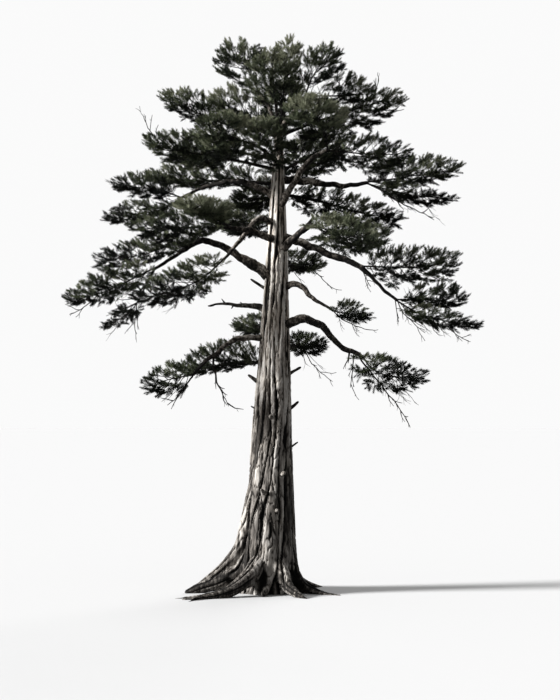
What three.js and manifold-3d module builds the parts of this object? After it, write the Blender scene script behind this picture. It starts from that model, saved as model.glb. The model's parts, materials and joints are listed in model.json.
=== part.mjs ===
// An old, open-grown pine: a stout tapering trunk on spreading roots, arched boughs in tiers,
// and a separate mass of needles round the end of each bough. Millimetres, +Z up, the view of
// the drawing along +Y. The origin is the centre of the flat cut at ground level.
import * as THREE from "three";
import { mergeVertices } from "three/addons/utils/BufferGeometryUtils.js";
import Module from "manifold-3d";

const wasm = await Module();
wasm.setup();

// Driving sizes of the trunk.
const FORK_HEIGHT = 12450; // the trunk ends here, where the crown forks
const FORK_RADIUS = 95;
const TAPER = 0.0515; // radius gained for each millimetre down from the fork
const LEAN = 300; // how far right of the foot the fork stands
const LEAN_CURVE = 0.8;
const TRUNK_SIDES = 21;
const TRUNK_RINGS = 13;
const RING_CROWDING = 1.5; // above 1, the rings stand closer together near the ground
const FLUTES = 7;
const FLUTE_DEPTH = 0.045;
const FLUTE_TWIST = 0.00011; // radians for each millimetre of height
const FOOT_SWELL = 150; // general thickening at the ground
const FOOT_SWELL_HEIGHT = 500;
const GROUND_BOX = 9000; // everything below the ground inside this box is cut away

// Gaps and section counts shared by all limbs.
const CLEARANCE = 0.3; // between a piece and what carries it
const LIMB_SIDES = 6;
const ROOT_SIDES = 6;
const STUB_SIDES = 4;
const MERGE_WITHIN = 0.001;
const LIMB_WOBBLE = 5; // degrees by which a limb's heading wanders at each step

// Seeds of the random numbers: each limb adds its own place in its list.
const BOUGH_SEED = 100;
const STEM_SEED = 300;
const ROOT_SEED = 900;
const GROWTH_SEED = 1000;

// Surface roots that flow out of the trunk. Each starts inside the trunk at "from" millimetres
// from its axis and "at" millimetres up, and follows its climb angles down onto the ground.
const ROOTS = [
  {
    bearing: [190, 192, 196], from: 300, at: 1000, climb: [-50, -36, -23, -20, -16], length: 2250,
    thick: [350, 110],
  },
  {
    bearing: [184, 188, 194], from: 280, at: 2950,
    climb: [-70, -75, -79, -73, -58, -47, -41, -40, -42], length: 3600, thick: [300, 60],
  },
  {
    bearing: [238, 232, 222, 208, 200], from: 420, at: 900, climb: [-50, -37, -26, -13, -9, -7, -3],
    length: 2850, thick: [300, 55],
  },
  {
    bearing: [262, 268, 262], from: 450, at: 620, climb: [-52, -40, -22, -8], length: 1150,
    thick: [210, 60],
  },
  {
    bearing: [296, 300, 308], from: 430, at: 900, climb: [-62, -48, -32, -14, -5], length: 1900,
    thick: [260, 60],
  },
  {
    bearing: [336, 334, 328], from: 420, at: 1150, climb: [-76, -70, -54, -20, -2, 0], length: 2300,
    thick: [270, 60],
  },
  {
    bearing: [42, 38, 46], from: 420, at: 900, climb: [-60, -46, -28, -12, -5], length: 2100,
    thick: [260, 60],
  },
  {
    bearing: [84, 90, 80], from: 430, at: 950, climb: [-60, -46, -28, -12, -5], length: 2200,
    thick: [270, 60],
  },
  {
    bearing: [140, 134, 142], from: 420, at: 1000, climb: [-60, -48, -32, -14, -5], length: 2300,
    thick: [280, 60],
  },
];
const ROOT_STEPS = 6;

// Broken stubs of dead branches on the bare trunk: height, bearing, climb, length past the bark,
// and radius at the bark.
const STUBS = [
  { at: 8080, bearing: 188, climb: 32, length: 430, thick: 42 },
  { at: 5580, bearing: 186, climb: 36, length: 300, thick: 60 },
  { at: 5800, bearing: 352, climb: 30, length: 330, thick: 48 },
  { at: 4880, bearing: 350, climb: 40, length: 260, thick: 52 },
  { at: 4860, bearing: 182, climb: 30, length: 130, thick: 30 },
  { at: 3860, bearing: 348, climb: 35, length: 190, thick: 34 },
  { at: 4640, bearing: 264, climb: 10, length: 180, thick: 72 },
  { at: 3120, bearing: 297, climb: 20, length: 200, thick: 70 },
  { at: 2640, bearing: 253, climb: 20, length: 290, thick: 66 },
  { at: 2180, bearing: 284, climb: 5, length: 170, thick: 60 },
  { at: 6900, bearing: 72, climb: 20, length: 240, thick: 46 },
  { at: 4300, bearing: 118, climb: 25, length: 220, thick: 48 },
];
const STUB_STEPS = 1;
const STUB_TAPER = [1.5, 0.55]; // its radii inside the trunk and at its broken end, as shares

// Main boughs. A bough leaves the trunk's axis at height "at", or the tip of the bough named in
// "on". Its bearing turns in plan, with 0 to the right and 90 away from the viewer, and its climb
// is the angle above level; both are read evenly along its length.
const BOUGHS = [
  {
    name: "left_1", at: 6670, bearing: [196, 204], climb: [8, 6, 0, -22, -50, -38, -42, -52],
    length: 2600, thick: [88, 52],
  },
  {
    name: "left_2_dead", at: 7380, bearing: [186, 182], climb: [10, 30, 8, -6, 18, -16, -10],
    length: 1850, thick: [92, 20],
  },
  {
    name: "left_3_inner", at: 8290, bearing: [188, 190], climb: [28, 36, 26, 36, 18, 6],
    length: 2280, thick: [150, 95],
  },
  {
    name: "left_3_outer", on: "left_3_inner", bearing: [190, 194], climb: [-22, -38, -34, -28],
    length: 1500, thick: [55, 50],
  },
  {
    name: "left_4", at: 9330, bearing: [226, 232], climb: [18, 12, 3, -3], length: 1900,
    thick: [98, 64],
  },
  {
    name: "left_5", at: 9770, bearing: [214, 216], climb: [26, 4, -50, -44, -48, -42], length: 2250,
    thick: [80, 50],
  },
  {
    name: "left_6", at: 10480, bearing: [170, 166, 170], climb: [26, 30, 10, -10, -22, -24],
    length: 2860, thick: [84, 50],
  },
  {
    name: "left_8", at: 12140, bearing: [176, 172], climb: [26, 20, 6, 6], length: 1540,
    thick: [60, 44],
  },
  {
    name: "top_left", at: 12220, bearing: [178, 186], climb: [64, 70, 60, 54], length: 1260,
    thick: [70, 48],
  },
  {
    name: "top_right", at: 12240, bearing: [4, -4], climb: [58, 50, 54, 52], length: 1240,
    thick: [68, 52],
  },
  {
    name: "right_7", at: 10990, bearing: [4, 8], climb: [2, -6, -7, 4, 9], length: 2420,
    thick: [98, 64],
  },
  {
    name: "right_6", at: 10180, bearing: [322, 330], climb: [44, 52, 54, 30, 16], length: 2250,
    thick: [98, 62],
  },
  {
    name: "right_4_inner", at: 9420, bearing: [352, 354], climb: [2, -20, -24, -18, -30],
    length: 2450, thick: [112, 92],
  },
  {
    name: "right_4_outer", on: "right_4_inner", bearing: [352, 356], climb: [-38, -46, -36],
    length: 1250, thick: [54, 50],
  },
  {
    name: "right_3", at: 8990, bearing: [318, 322], climb: [30, 32, 24], length: 1420,
    thick: [118, 76],
  },
  {
    name: "right_2", at: 7965, bearing: [332, 338], climb: [34, 26, -16, -44, -44, -24, -34],
    length: 1940, thick: [92, 40],
  },
  {
    name: "right_1", at: 7000, bearing: [344, 348], climb: [16, 24, 2, -30, -50, -44, -20, -34],
    length: 2800, thick: [124, 66],
  },
];
const BOUGH_STEPS_PER_METRE = 3.4;
const SHORTEST_BOUGH_STEPS = 4;

// A dead stub that carries on upwards where the right-hand bough turns down.
const SNAG = { on: "right_3", share: 0.78, bearing: 330, climb: 46, length: 420, thick: 46 };
const SNAG_TAPER = 0.7;

// Masses of needles. Each grows along a stem that leaves the tip of the bough named in "on", or
// the trunk at height "at". Width, rise and drop are how far the mass reaches to each side of the
// stem, above it and below it; bare is the number of leafless twigs that hang under it.
const MASSES = [
  {
    name: "left_1_outer", on: "left_1", bearing: [196, 188], climb: [-16, -8], length: 1000,
    width: 700, rise: 480, drop: 580, bare: 3,
  },
  {
    name: "left_1_inner", at: 6060, bearing: [158, 152], climb: [8, -2, -8], length: 2500,
    width: 620, rise: 720, drop: 300, first: 0.12,
  },
  {
    name: "back_left_1", at: 6820, bearing: [112, 106], climb: [12, 6, 0], length: 2400, width: 640,
    rise: 420, drop: 330,
  },
  {
    name: "back_right_1", at: 6560, bearing: [62, 68], climb: [6, 2, 0], length: 2550, width: 640,
    rise: 400, drop: 360, bare: 2,
  },
  {
    name: "right_1", on: "right_1", bearing: [290, 330, 350], climb: [-46, -18, 2], length: 1500,
    width: 760, rise: 500, drop: 560, bare: 5,
  },
  {
    name: "right_2", on: "right_2", bearing: [310, 335], climb: [-14, -10], length: 850, width: 580,
    rise: 380, drop: 300, bare: 2,
  },
  {
    name: "left_3_upper", on: "left_3_inner", bearing: [178, 184], climb: [-6, -18, -8],
    length: 2600, width: 700, rise: 520, drop: 420,
  },
  {
    name: "left_3_tip", on: "left_3_outer", bearing: [192, 184], climb: [-30, -22, -8],
    length: 2050, width: 760, rise: 620, drop: 400, bare: 2,
  },
  {
    name: "left_3_lower", on: "left_3_outer", bearing: [206, 196], climb: [-62, -70, -54, -14],
    length: 1850, width: 520, rise: 330, drop: 330, first: 0.5, bare: 2,
  },
  {
    name: "left_4_outer", on: "left_4", bearing: [214, 196], climb: [4, -4, 0], length: 2250,
    width: 760, rise: 480, drop: 500,
  },
  {
    name: "left_4_front", on: "left_4", bearing: [242, 252], climb: [12, 6, 2], length: 2500,
    width: 800, rise: 460, drop: 200,
  },
  {
    name: "left_5", on: "left_5", bearing: [212, 196], climb: [-38, -28, -10], length: 2300,
    width: 760, rise: 620, drop: 460, bare: 2,
  },
  {
    name: "left_6_inner", at: 10860, bearing: [146, 152, 166], climb: [10, 4, 0], length: 3700,
    width: 640, rise: 600, drop: 300, first: 0.16,
  },
  {
    name: "left_6_upper", on: "left_6", bearing: [172, 178], climb: [20, 12, 12], length: 1600,
    width: 640, rise: 480, drop: 400,
  },
  {
    name: "left_6_tip", on: "left_6", bearing: [164, 170], climb: [-26, -14, -2], length: 1850,
    width: 700, rise: 480, drop: 380, bare: 2,
  },
  {
    name: "left_7_outer", at: 11230, bearing: [208, 198, 186], climb: [12, 6, 8, 20], length: 3250,
    width: 760, rise: 620, drop: 560,
  },
  {
    name: "left_7_front", at: 11420, bearing: [236, 244], climb: [16, 8, 4], length: 3100,
    width: 900, rise: 640, drop: 980,
  },
  {
    name: "front_7", at: 11250, bearing: [262, 256], climb: [18, 12, 6], length: 2600, width: 900,
    rise: 620, drop: 1100,
  },
  {
    name: "left_8_outer", on: "left_8", bearing: [184, 180], climb: [16, 24, 20], length: 1450,
    width: 640, rise: 620, drop: 420,
  },
  {
    name: "left_8_inner", at: 11980, bearing: [118, 146, 160], climb: [48, 34, 16], length: 2300,
    width: 700, rise: 860, drop: 480,
  },
  {
    name: "top_left", on: "top_left", bearing: [190, 165], climb: [68, 58, 50], length: 1080,
    width: 860, rise: 720, drop: 1050,
  },
  {
    name: "top_right", on: "top_right", bearing: [-6, 0], climb: [70, 62, 54], length: 1050,
    width: 760, rise: 660, drop: 950,
  },
  {
    name: "top_right_side", on: "top_right", bearing: [12, 4], climb: [6, 6, 10], length: 1400,
    width: 760, rise: 720, drop: 640,
  },
  {
    name: "top_centre", at: 12300, bearing: [40, 20], climb: [78, 82, 82], length: 2015, width: 800,
    rise: 700, drop: 700,
  },
  {
    name: "top_front", at: 12150, bearing: [262, 268], climb: [62, 48, 38], length: 2000,
    width: 960, rise: 620, drop: 860,
  },
  {
    name: "top_back", at: 12000, bearing: [84, 92], climb: [46, 36, 30], length: 2700, width: 980,
    rise: 620, drop: 820,
  },
  {
    name: "right_8", at: 12150, bearing: [22, 14, 8], climb: [25, 18, 13, 15], length: 3300,
    width: 680, rise: 500, drop: 780, first: 0.16,
  },
  {
    name: "right_6_upper", on: "right_6", bearing: [258, 244], climb: [44, 20, 8], length: 2000,
    width: 900, rise: 560, drop: 800,
  },
  {
    name: "right_6_outer", on: "right_6", bearing: [344, 354], climb: [-6, -4, 4], length: 1700,
    width: 720, rise: 560, drop: 700,
  },
  {
    name: "right_7_outer", on: "right_7", bearing: [12, 4], climb: [6, 6, 10], length: 2250,
    width: 720, rise: 600, drop: 420,
  },
  {
    name: "right_7_lower", on: "right_7", bearing: [352, 360], climb: [-14, -12, -4], length: 2100,
    width: 640, rise: 330, drop: 330, bare: 2,
  },
  {
    name: "right_5", at: 10600, bearing: [30, 22, 18], climb: [-4, -9, -10], length: 3500,
    width: 640, rise: 480, drop: 560, first: 0.08,
  },
  {
    name: "right_3_outer", on: "right_3", bearing: [338, 344], climb: [-28, -18, -2], length: 1780,
    width: 720, rise: 560, drop: 480,
  },
  {
    name: "right_3_front", on: "right_3", bearing: [312, 302], climb: [-26, -14, -4], length: 2400,
    width: 720, rise: 600, drop: 460,
  },
  {
    name: "right_4_upper", on: "right_4_inner", bearing: [6, 2], climb: [-4, 2, 18], length: 2150,
    width: 700, rise: 600, drop: 820,
  },
  {
    name: "right_4_middle", on: "right_4_outer", bearing: [6, 8], climb: [-6, -4, -4], length: 1500,
    width: 640, rise: 760, drop: 330,
  },
  {
    name: "right_4_tip", on: "right_4_outer", bearing: [344, 352], climb: [-34, -18, -6],
    length: 2050, width: 600, rise: 360, drop: 330, bare: 4,
  },
  {
    name: "back_right_4", at: 8500, bearing: [72, 66], climb: [16, 8, 2], length: 2600, width: 700,
    rise: 460, drop: 360, bare: 1,
  },
  {
    name: "back_left_5", at: 9500, bearing: [112, 104], climb: [14, 10, 4], length: 4100,
    width: 880, rise: 560, drop: 420,
  },
  {
    name: "back_left_6", at: 11000, bearing: [108, 102], climb: [-14, -10, 0], length: 3100,
    width: 760, rise: 520, drop: 420, first: 0.12,
  },
  {
    name: "back_left_7", at: 11500, bearing: [142, 136], climb: [12, 8, 4], length: 3400,
    width: 800, rise: 560, drop: 460,
  },
  {
    name: "back_right_7", at: 11150, bearing: [72, 62], climb: [26, 16, 10], length: 3400,
    width: 820, rise: 760, drop: 760, first: 0.14,
  },
];
const STEM_RADIUS = 20;
const TRUNK_STEM_RADIUS = 44; // a stem that leaves the trunk itself is thicker
const STEM_TIP_RADIUS = 9;
const STEM_SIDES = 4;
const STEM_STEPS = 3;
const SEAT_SHARE = 0.94; // share of a bough's tip that the stems seated side by side on it use

// The growth rule of a mass. Twigs leave the stem in a spiral; each ends in a spray of needles and
// bears a side twig with a spray of its own.
const FIRST_TWIG = 0.04; // share of the stem that is bare
const FIRST_TWIG_FROM_TRUNK = 0.36;
const TWIG_SPACING = 505;
const SPIRAL = 137.5; // degrees from one twig to the next round the stem
const TWIG_SPREAD = [66, 40]; // the most degrees off the stem, at its start and at its tip
const SHORTEST_REACH = 1150; // where the mass is narrow, a twig this long leans forward instead
const TWIG_RADIUS = 14; // where its spray starts
const BARE_SHARE = 0.36; // share of a twig that is bare below its spray
const SIDE_TWIG_AT = 0.24; // where along a twig its side twig leaves
const SIDE_TWIG_TURN = 0.95; // how far that turns off, 1 being 45 degrees
const SIDE_TWIG_LENGTH = 860;
const SIDE_BARE_SHARE = 0.14;
const TIP_TWIG_LENGTH = 900;
const TWIG_TRIES = [1, 0.86, 0.72, 0.6]; // shares of its length tried until it fits
const SPRAY_ROLL = [25, 70]; // degrees from level at which a spray lies
const SPRAY_THICKNESS = 0.07; // share of its length
const SPRAY_CREST = 0.42; // where along its length it is thickest
const TEST_SCALE = 1.05; // a twig is tried this much larger, so that it keeps its distance
const REACH_RANGE = [0.94, 1.06]; // how far twigs vary round the reach of their mass
const TIP_TWIG_AT = 0.97;
const BARE_TWIG_LENGTH = 950;
const BARE_TWIG_SIZES = [0.6, 1.1];
const BARE_TWIG_LAST = 0.75; // share of the leafy part of the stem where they hang
const BARE_TWIG_TURN = 50;
const BARE_TWIG_CLIMB = [-40, -56];
const BARE_TWIG_WOBBLE = 14;
const BARE_TWIG_RADII = [8, 7];
const BARE_TWIG_SIDES = 3;
const BARE_TWIG_STEPS = 2;
const EDGE_SHARE = 1.16; // how far past its own space a spray's tip may reach
const FORWARD_SHARE = 0.8; // how far the space reaches past the stem's tip, as a share of its width
const DEPTH_CHECKS = 12; // places along a stem where its space is measured
const NEIGHBOUR_SHARE = 0.6; // share of its length within which a mass is tested as a neighbour
const SIMPLIFY = 0.5; // faces closer to flat than this are joined

// A mass is narrow where it starts, full past its middle and closes at its tip: the part of a
// half sine wave that it follows, and the power that fills it out.
const SWELL_START = 0.14;
const SWELL_RUN = 0.74;
const SWELL_POWER = 0.6;

// Half of a spray's toothed outline, as shares of its length: along it and to one side.
const SPRAY_HALF = [
  [0.5, 0.3],
  [0.47, 0.12],
  [0.82, 0.27],
  [0.75, 0.08],
];

const DEGREE = Math.PI / 180;
const UP = new THREE.Vector3(0, 0, 1);

// Seeded random numbers: the same tree every time.
const RANDOM_FACTOR = 48271;
const RANDOM_MODULUS = 2147483647;
function randomFrom(seed) {
  let state = (seed * 7919 + 104729) % RANDOM_MODULUS;
  return (low = 0, high = 1) => {
    state = (state * RANDOM_FACTOR) % RANDOM_MODULUS;
    return low + ((high - low) * state) / RANDOM_MODULUS;
  };
}

// The value of an evenly spaced list at t from 0 to 1, joined by straight lines.
function along(list, t) {
  const place = Math.min(Math.max(t, 0), 1) * (list.length - 1);
  const step = Math.min(Math.floor(place), list.length - 2);
  return list.length === 1 ? list[0] : list[step] + (list[step + 1] - list[step]) * (place - step);
}

function heading(bearing, climb) {
  const level = Math.cos(climb * DEGREE);
  return new THREE.Vector3(
    level * Math.cos(bearing * DEGREE),
    level * Math.sin(bearing * DEGREE),
    Math.sin(climb * DEGREE),
  );
}

// Walks a path from a start point by its bearing and climb angles.
function walk(start, bearings, climbs, length, steps, random, wobble = 0) {
  const points = [start.clone()];
  for (let i = 0; i < steps; i++) {
    const t = (i + 0.5) / steps;
    const turn = random ? random(-wobble, wobble) : 0;
    const tilt = random ? random(-wobble, wobble) : 0;
    const step = heading(along(bearings, t) + turn, along(climbs, t) + tilt);
    points.push(points[i].clone().addScaledVector(step, length / steps));
  }
  return points;
}

function pointAt(path, t) {
  const place = Math.min(Math.max(t, 0), 1) * (path.length - 1);
  const i = Math.min(Math.floor(place), path.length - 2);
  return path[i].clone().lerp(path[i + 1], place - i);
}

function directionAt(path, t) {
  const i = Math.min(Math.floor(t * (path.length - 1)), path.length - 2);
  return path[i + 1].clone().sub(path[i]).normalize();
}

// A closed solid from a geometry whose doubled vertices are merged.
function solidOf(geometry) {
  const bare = geometry.clone();
  bare.deleteAttribute("normal");
  bare.deleteAttribute("uv");
  const merged = mergeVertices(bare, MERGE_WITHIN);
  return new wasm.Manifold(
    new wasm.Mesh({
      numProp: 3,
      vertProperties: new Float32Array(merged.attributes.position.array),
      triVerts: new Uint32Array(merged.index.array),
    }),
  );
}

// The normals of a tube's rings: the mean of the two steps that meet there, or the seat's normal
// at a start that lies flat on something.
function ringNormals(path, seatNormal) {
  return path.map((point, i) => {
    const before = path[Math.max(i - 1, 0)];
    const after = path[Math.min(i + 1, path.length - 1)];
    return i === 0 && seatNormal ? seatNormal.clone() : after.clone().sub(before).normalize();
  });
}

// A cylinder bent along a path, its radius given for each share of the path.
function tube(path, radiusAt, sides, seatNormal) {
  const rings = path.length - 1;
  const geometry = new THREE.CylinderGeometry(1, 1, 1, sides, rings, false);
  const normals = ringNormals(path, seatNormal);
  const position = geometry.attributes.position;
  const vertex = new THREE.Vector3();
  for (let i = 0; i < position.count; i++) {
    vertex.fromBufferAttribute(position, i);
    const ring = Math.round((vertex.y + 0.5) * rings);
    const normal = normals[ring];
    const side = new THREE.Vector3().crossVectors(UP, normal);
    if (side.lengthSq() < 1e-6) side.set(1, 0, 0);
    side.normalize();
    const over = new THREE.Vector3().crossVectors(normal, side);
    const radius = radiusAt(ring / rings);
    const place = path[ring]
      .clone()
      .addScaledVector(side, vertex.z * radius)
      .addScaledVector(over, vertex.x * radius);
    position.setXYZ(i, place.x, place.y, place.z);
  }
  return solidOf(geometry);
}

function tapered(thick) {
  return (t) => thick[0] + (thick[1] - thick[0]) * t;
}

// The centre of the trunk at a height, and its radius there on a bearing.
function trunkCentre(height) {
  const share = Math.min(Math.max(height / FORK_HEIGHT, 0), 1);
  return new THREE.Vector3(LEAN * Math.pow(share, LEAN_CURVE), 0, height);
}

function trunkRadius(height, angle) {
  const straight = FORK_RADIUS + (FORK_HEIGHT - height) * TAPER;
  const swell = FOOT_SWELL * Math.exp(-height / FOOT_SWELL_HEIGHT);
  const flute = FLUTE_DEPTH * Math.cos(FLUTES * angle + FLUTE_TWIST * FLUTES * height);
  return (straight + swell) * (1 + flute);
}

// The trunk's own tube, grown by a margin where its neighbours are cut clear of it.
function trunkTube(margin) {
  const geometry = new THREE.CylinderGeometry(1, 1, 1, TRUNK_SIDES, TRUNK_RINGS, false);
  const position = geometry.attributes.position;
  const vertex = new THREE.Vector3();
  for (let i = 0; i < position.count; i++) {
    vertex.fromBufferAttribute(position, i);
    const share = Math.pow(vertex.y + 0.5, RING_CROWDING);
    const height = FORK_HEIGHT * share;
    const angle = Math.atan2(vertex.z, vertex.x);
    const onAxis = Math.hypot(vertex.x, vertex.z) < 0.5;
    const radius = onAxis ? 0 : trunkRadius(height, angle) + margin;
    const centre = trunkCentre(height);
    const raised = height + (share === 1 ? margin : 0);
    position.setXYZ(
      i,
      centre.x + radius * Math.cos(angle),
      centre.y - radius * Math.sin(angle),
      raised,
    );
  }
  return solidOf(geometry);
}

function rootSolid(root, index) {
  const random = randomFrom(ROOT_SEED + index);
  const start = trunkCentre(root.at).addScaledVector(heading(root.bearing[0], 0), root.from);
  const path = walk(start, root.bearing, root.climb, root.length, ROOT_STEPS, random, LIMB_WOBBLE);
  return tube(path, tapered(root.thick), ROOT_SIDES);
}

function stubSolid(stub) {
  const start = trunkCentre(stub.at);
  const straight = FORK_RADIUS + (FORK_HEIGHT - stub.at) * TAPER;
  const length = straight / Math.cos(stub.climb * DEGREE) + stub.length;
  start.z -= straight * Math.tan(stub.climb * DEGREE);
  const path = walk(start, [stub.bearing], [stub.climb], length, STUB_STEPS);
  return tube(path, tapered(STUB_TAPER.map((share) => stub.thick * share)), STUB_SIDES);
}

function belowGround() {
  const box = new THREE.BoxGeometry(GROUND_BOX, GROUND_BOX, GROUND_BOX);
  box.translate(0, 0, -GROUND_BOX / 2);
  return solidOf(box);
}

function trunkSolid() {
  const pieces = [trunkTube(0), ...ROOTS.map(rootSolid), ...STUBS.map(stubSolid)];
  return wasm.Manifold.union(pieces).subtract(belowGround());
}

// Where the pieces on a bough's tip stand: side by side across its end, each towards its own side.
function seats(bough, children) {
  const normal = directionAt(bough.path, 1);
  const tip = bough.path[bough.path.length - 1].clone().addScaledVector(normal, CLEARANCE);
  const side = new THREE.Vector3().crossVectors(UP, normal).normalize();
  const radius = bough.thick[1] * Math.cos(Math.PI / LIMB_SIDES) * SEAT_SHARE;
  return children.map((child) => {
    if (children.length === 1) return { point: tip.clone(), normal };
    const first = heading(child.bearing[0], child.climb[0]);
    const other = children.find((c) => c !== child);
    const away = first.sub(heading(other.bearing[0], other.climb[0]));
    away.addScaledVector(normal, -away.dot(normal)).normalize();
    if (away.lengthSq() < 0.5) away.copy(side);
    return { point: tip.clone().addScaledVector(away, radius - child.foot), normal };
  });
}

// Builds each bough as one tapering limb, cut clear of the trunk where it leaves it.
const placed = [];
function place(name, solid) {
  placed.push({ name, solid, box: solid.boundingBox() });
}

place("trunk", trunkSolid());
const trunkGrown = trunkTube(CLEARANCE);
const boughs = new Map();

const children = new Map();
for (const item of [...BOUGHS, ...MASSES]) {
  item.foot = item.thick ? item.thick[0] : STEM_RADIUS;
  if (item.on) children.set(item.on, [...(children.get(item.on) || []), item]);
}

function seatOf(item) {
  const on = boughs.get(item.on);
  const siblings = children.get(item.on);
  return seats(on, siblings)[siblings.indexOf(item)];
}

function growBough(bough, index) {
  const random = randomFrom(BOUGH_SEED + index);
  const seat = bough.on ? seatOf(bough) : null;
  const start = seat ? seat.point : trunkCentre(bough.at);
  const even = Math.round((bough.length / 1000) * BOUGH_STEPS_PER_METRE);
  const steps = Math.max(SHORTEST_BOUGH_STEPS, even);
  const path = walk(start, bough.bearing, bough.climb, bough.length, steps, random, LIMB_WOBBLE);
  boughs.set(bough.name, { ...bough, path });
  const limb = tube(path, tapered(bough.thick), LIMB_SIDES, seat && seat.normal);
  const clear = bough.on ? limb : limb.subtract(trunkGrown);
  return bough.name === SNAG.on ? clear.add(snagSolid(path)) : clear;
}

function snagSolid(path) {
  const start = pointAt(path, SNAG.share);
  const snag = walk(start, [SNAG.bearing], [SNAG.climb], SNAG.length, STUB_STEPS);
  return tube(snag, tapered([SNAG.thick, SNAG.thick * SNAG_TAPER]), STUB_SIDES);
}

BOUGHS.forEach((bough, index) => place("bough_" + bough.name, growBough(bough, index)));

function swell(t) {
  const share = Math.min(Math.max(t, 0), 1);
  return Math.pow(Math.sin(Math.PI * (SWELL_START + SWELL_RUN * share)), SWELL_POWER);
}

// Prepares a mass: its stem's path and where along it the foliage starts.
function stemOf(mass, index) {
  const seat = mass.on ? seatOf(mass) : null;
  const start = seat ? seat.point : trunkCentre(mass.at);
  const random = randomFrom(STEM_SEED + index);
  const path = walk(start, mass.bearing, mass.climb, mass.length, STEM_STEPS, random, LIMB_WOBBLE);
  const first = mass.first || (mass.on ? FIRST_TWIG : FIRST_TWIG_FROM_TRUNK);
  return { ...mass, path, seat, first, middle: pointAt(path, 0.5 + first / 2) };
}

// The directions ahead, to the right and over a stem at one share of its length.
function frameAt(mass, t) {
  const ahead = heading(along(mass.bearing, t), along(mass.climb, t));
  const side = heading(along(mass.bearing, t) - 90, 0);
  return { ahead, side, over: new THREE.Vector3().crossVectors(side, ahead) };
}

// How deep a point lies in a mass: 0 on its stem, 1 at the edge of its space.
function depthIn(mass, point) {
  let least = Infinity;
  for (let i = 0; i <= DEPTH_CHECKS; i++) {
    const share = i / DEPTH_CHECKS;
    const t = mass.first + (1 - mass.first) * share;
    const { ahead, side, over } = frameAt(mass, t);
    const offset = point.clone().sub(pointAt(mass.path, t));
    const size = swell(share);
    const across = offset.dot(side) / (mass.width * size);
    const height = offset.dot(over);
    const vertical = height / ((height > 0 ? mass.rise : mass.drop) * size);
    const forward = offset.dot(ahead) / (mass.width * FORWARD_SHARE);
    least = Math.min(least, Math.hypot(across, vertical, forward));
  }
  return least;
}

// How far a mass reaches from its stem, on a bearing round the stem from its right-hand side.
function reachAt(mass, around) {
  const across = Math.cos(around * DEGREE) / mass.width;
  const rising = Math.sin(around * DEGREE) > 0 ? mass.rise : mass.drop;
  return 1 / Math.hypot(across, Math.sin(around * DEGREE) / rising);
}

// A twig that ends in a spray of needles: a point sunk in what it grows from, three corners where
// the spray starts, the spray's crest above and below, and its toothed outline from side to side.
function twigSolid(root, ahead, roll, length, bareShare) {
  const side = new THREE.Vector3().crossVectors(UP, ahead);
  if (side.lengthSq() < 1e-4) side.set(1, 0, 0);
  side.normalize().applyAxisAngle(ahead, roll);
  const face = new THREE.Vector3().crossVectors(ahead, side);
  const bare = length * bareShare;
  const blade = length - bare;
  const crest = bare + SPRAY_CREST * blade;
  const corners = [
    [0, 0, 0],
    [bare, TWIG_RADIUS, -TWIG_RADIUS / 2],
    [bare, -TWIG_RADIUS, -TWIG_RADIUS / 2],
    [bare, 0, TWIG_RADIUS],
    [crest, 0, (SPRAY_THICKNESS * blade) / 2],
    [crest, 0, (-SPRAY_THICKNESS * blade) / 2],
    ...SPRAY_HALF.map(([x, y]) => [bare + x * blade, y * blade, 0]),
    [length, 0, 0],
    ...SPRAY_HALF.map(([x, y]) => [bare + x * blade, -y * blade, 0]).reverse(),
  ];
  const outline = [1, ...Array.from({ length: corners.length - 6 }, (_, i) => i + 6), 2];
  const faces = [0, 1, 2, 0, 2, 3, 0, 3, 1, 3, 4, 1, 4, 3, 2, 2, 1, 5];
  for (let i = 0; i + 1 < outline.length; i++) {
    faces.push(4, outline[i + 1], outline[i], 5, outline[i], outline[i + 1]);
  }
  const place = ([x, y, z]) =>
    root.clone().addScaledVector(ahead, x).addScaledVector(side, y).addScaledVector(face, z);
  const geometry = new THREE.BufferGeometry().setFromPoints(corners.map(place));
  geometry.setIndex(faces);
  return solidOf(geometry);
}

function boxesMeet(a, b) {
  return [0, 1, 2].every((k) => a.min[k] <= b.max[k] && b.min[k] <= a.max[k]);
}

function touchesPlaced(solid) {
  const box = solid.boundingBox();
  return placed.some((other) => boxesMeet(box, other.box) && !solid.intersect(other.solid).isEmpty());
}

// The space test: inside its own mass, and deeper in it than in any neighbour.
function keepsToItself(mass, points) {
  return points.every((point) => {
    const own = depthIn(mass, point);
    if (own > EDGE_SHARE) return false;
    return masses.every((other) => {
      const near = other.middle.distanceTo(point) < other.length * NEIGHBOUR_SHARE + other.width;
      return other === mass || !near || depthIn(other, point) > own;
    });
  });
}

// Adds the longest twig with its spray that fits and crosses none of the mass's other twigs.
function addTwig(mass, root, towards, random, length, bareShare, twigs, parent) {
  const ahead = towards.clone().normalize();
  for (const share of TWIG_TRIES) {
    const roll = (random() < 0.5 ? -1 : 1) * random(SPRAY_ROLL[0], SPRAY_ROLL[1]) * DEGREE;
    const size = length * share;
    if (!keepsToItself(mass, [root.clone().addScaledVector(ahead, size)])) continue;
    if (touchesPlaced(twigSolid(root, ahead, roll, size * TEST_SCALE, bareShare))) continue;
    const twig = twigSolid(root, ahead, roll, size, bareShare);
    if (twigs.some((other) => other !== parent && !twig.intersect(other).isEmpty())) continue;
    twigs.push(twig);
    return { twig, length: size, ahead };
  }
  return null;
}

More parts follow.
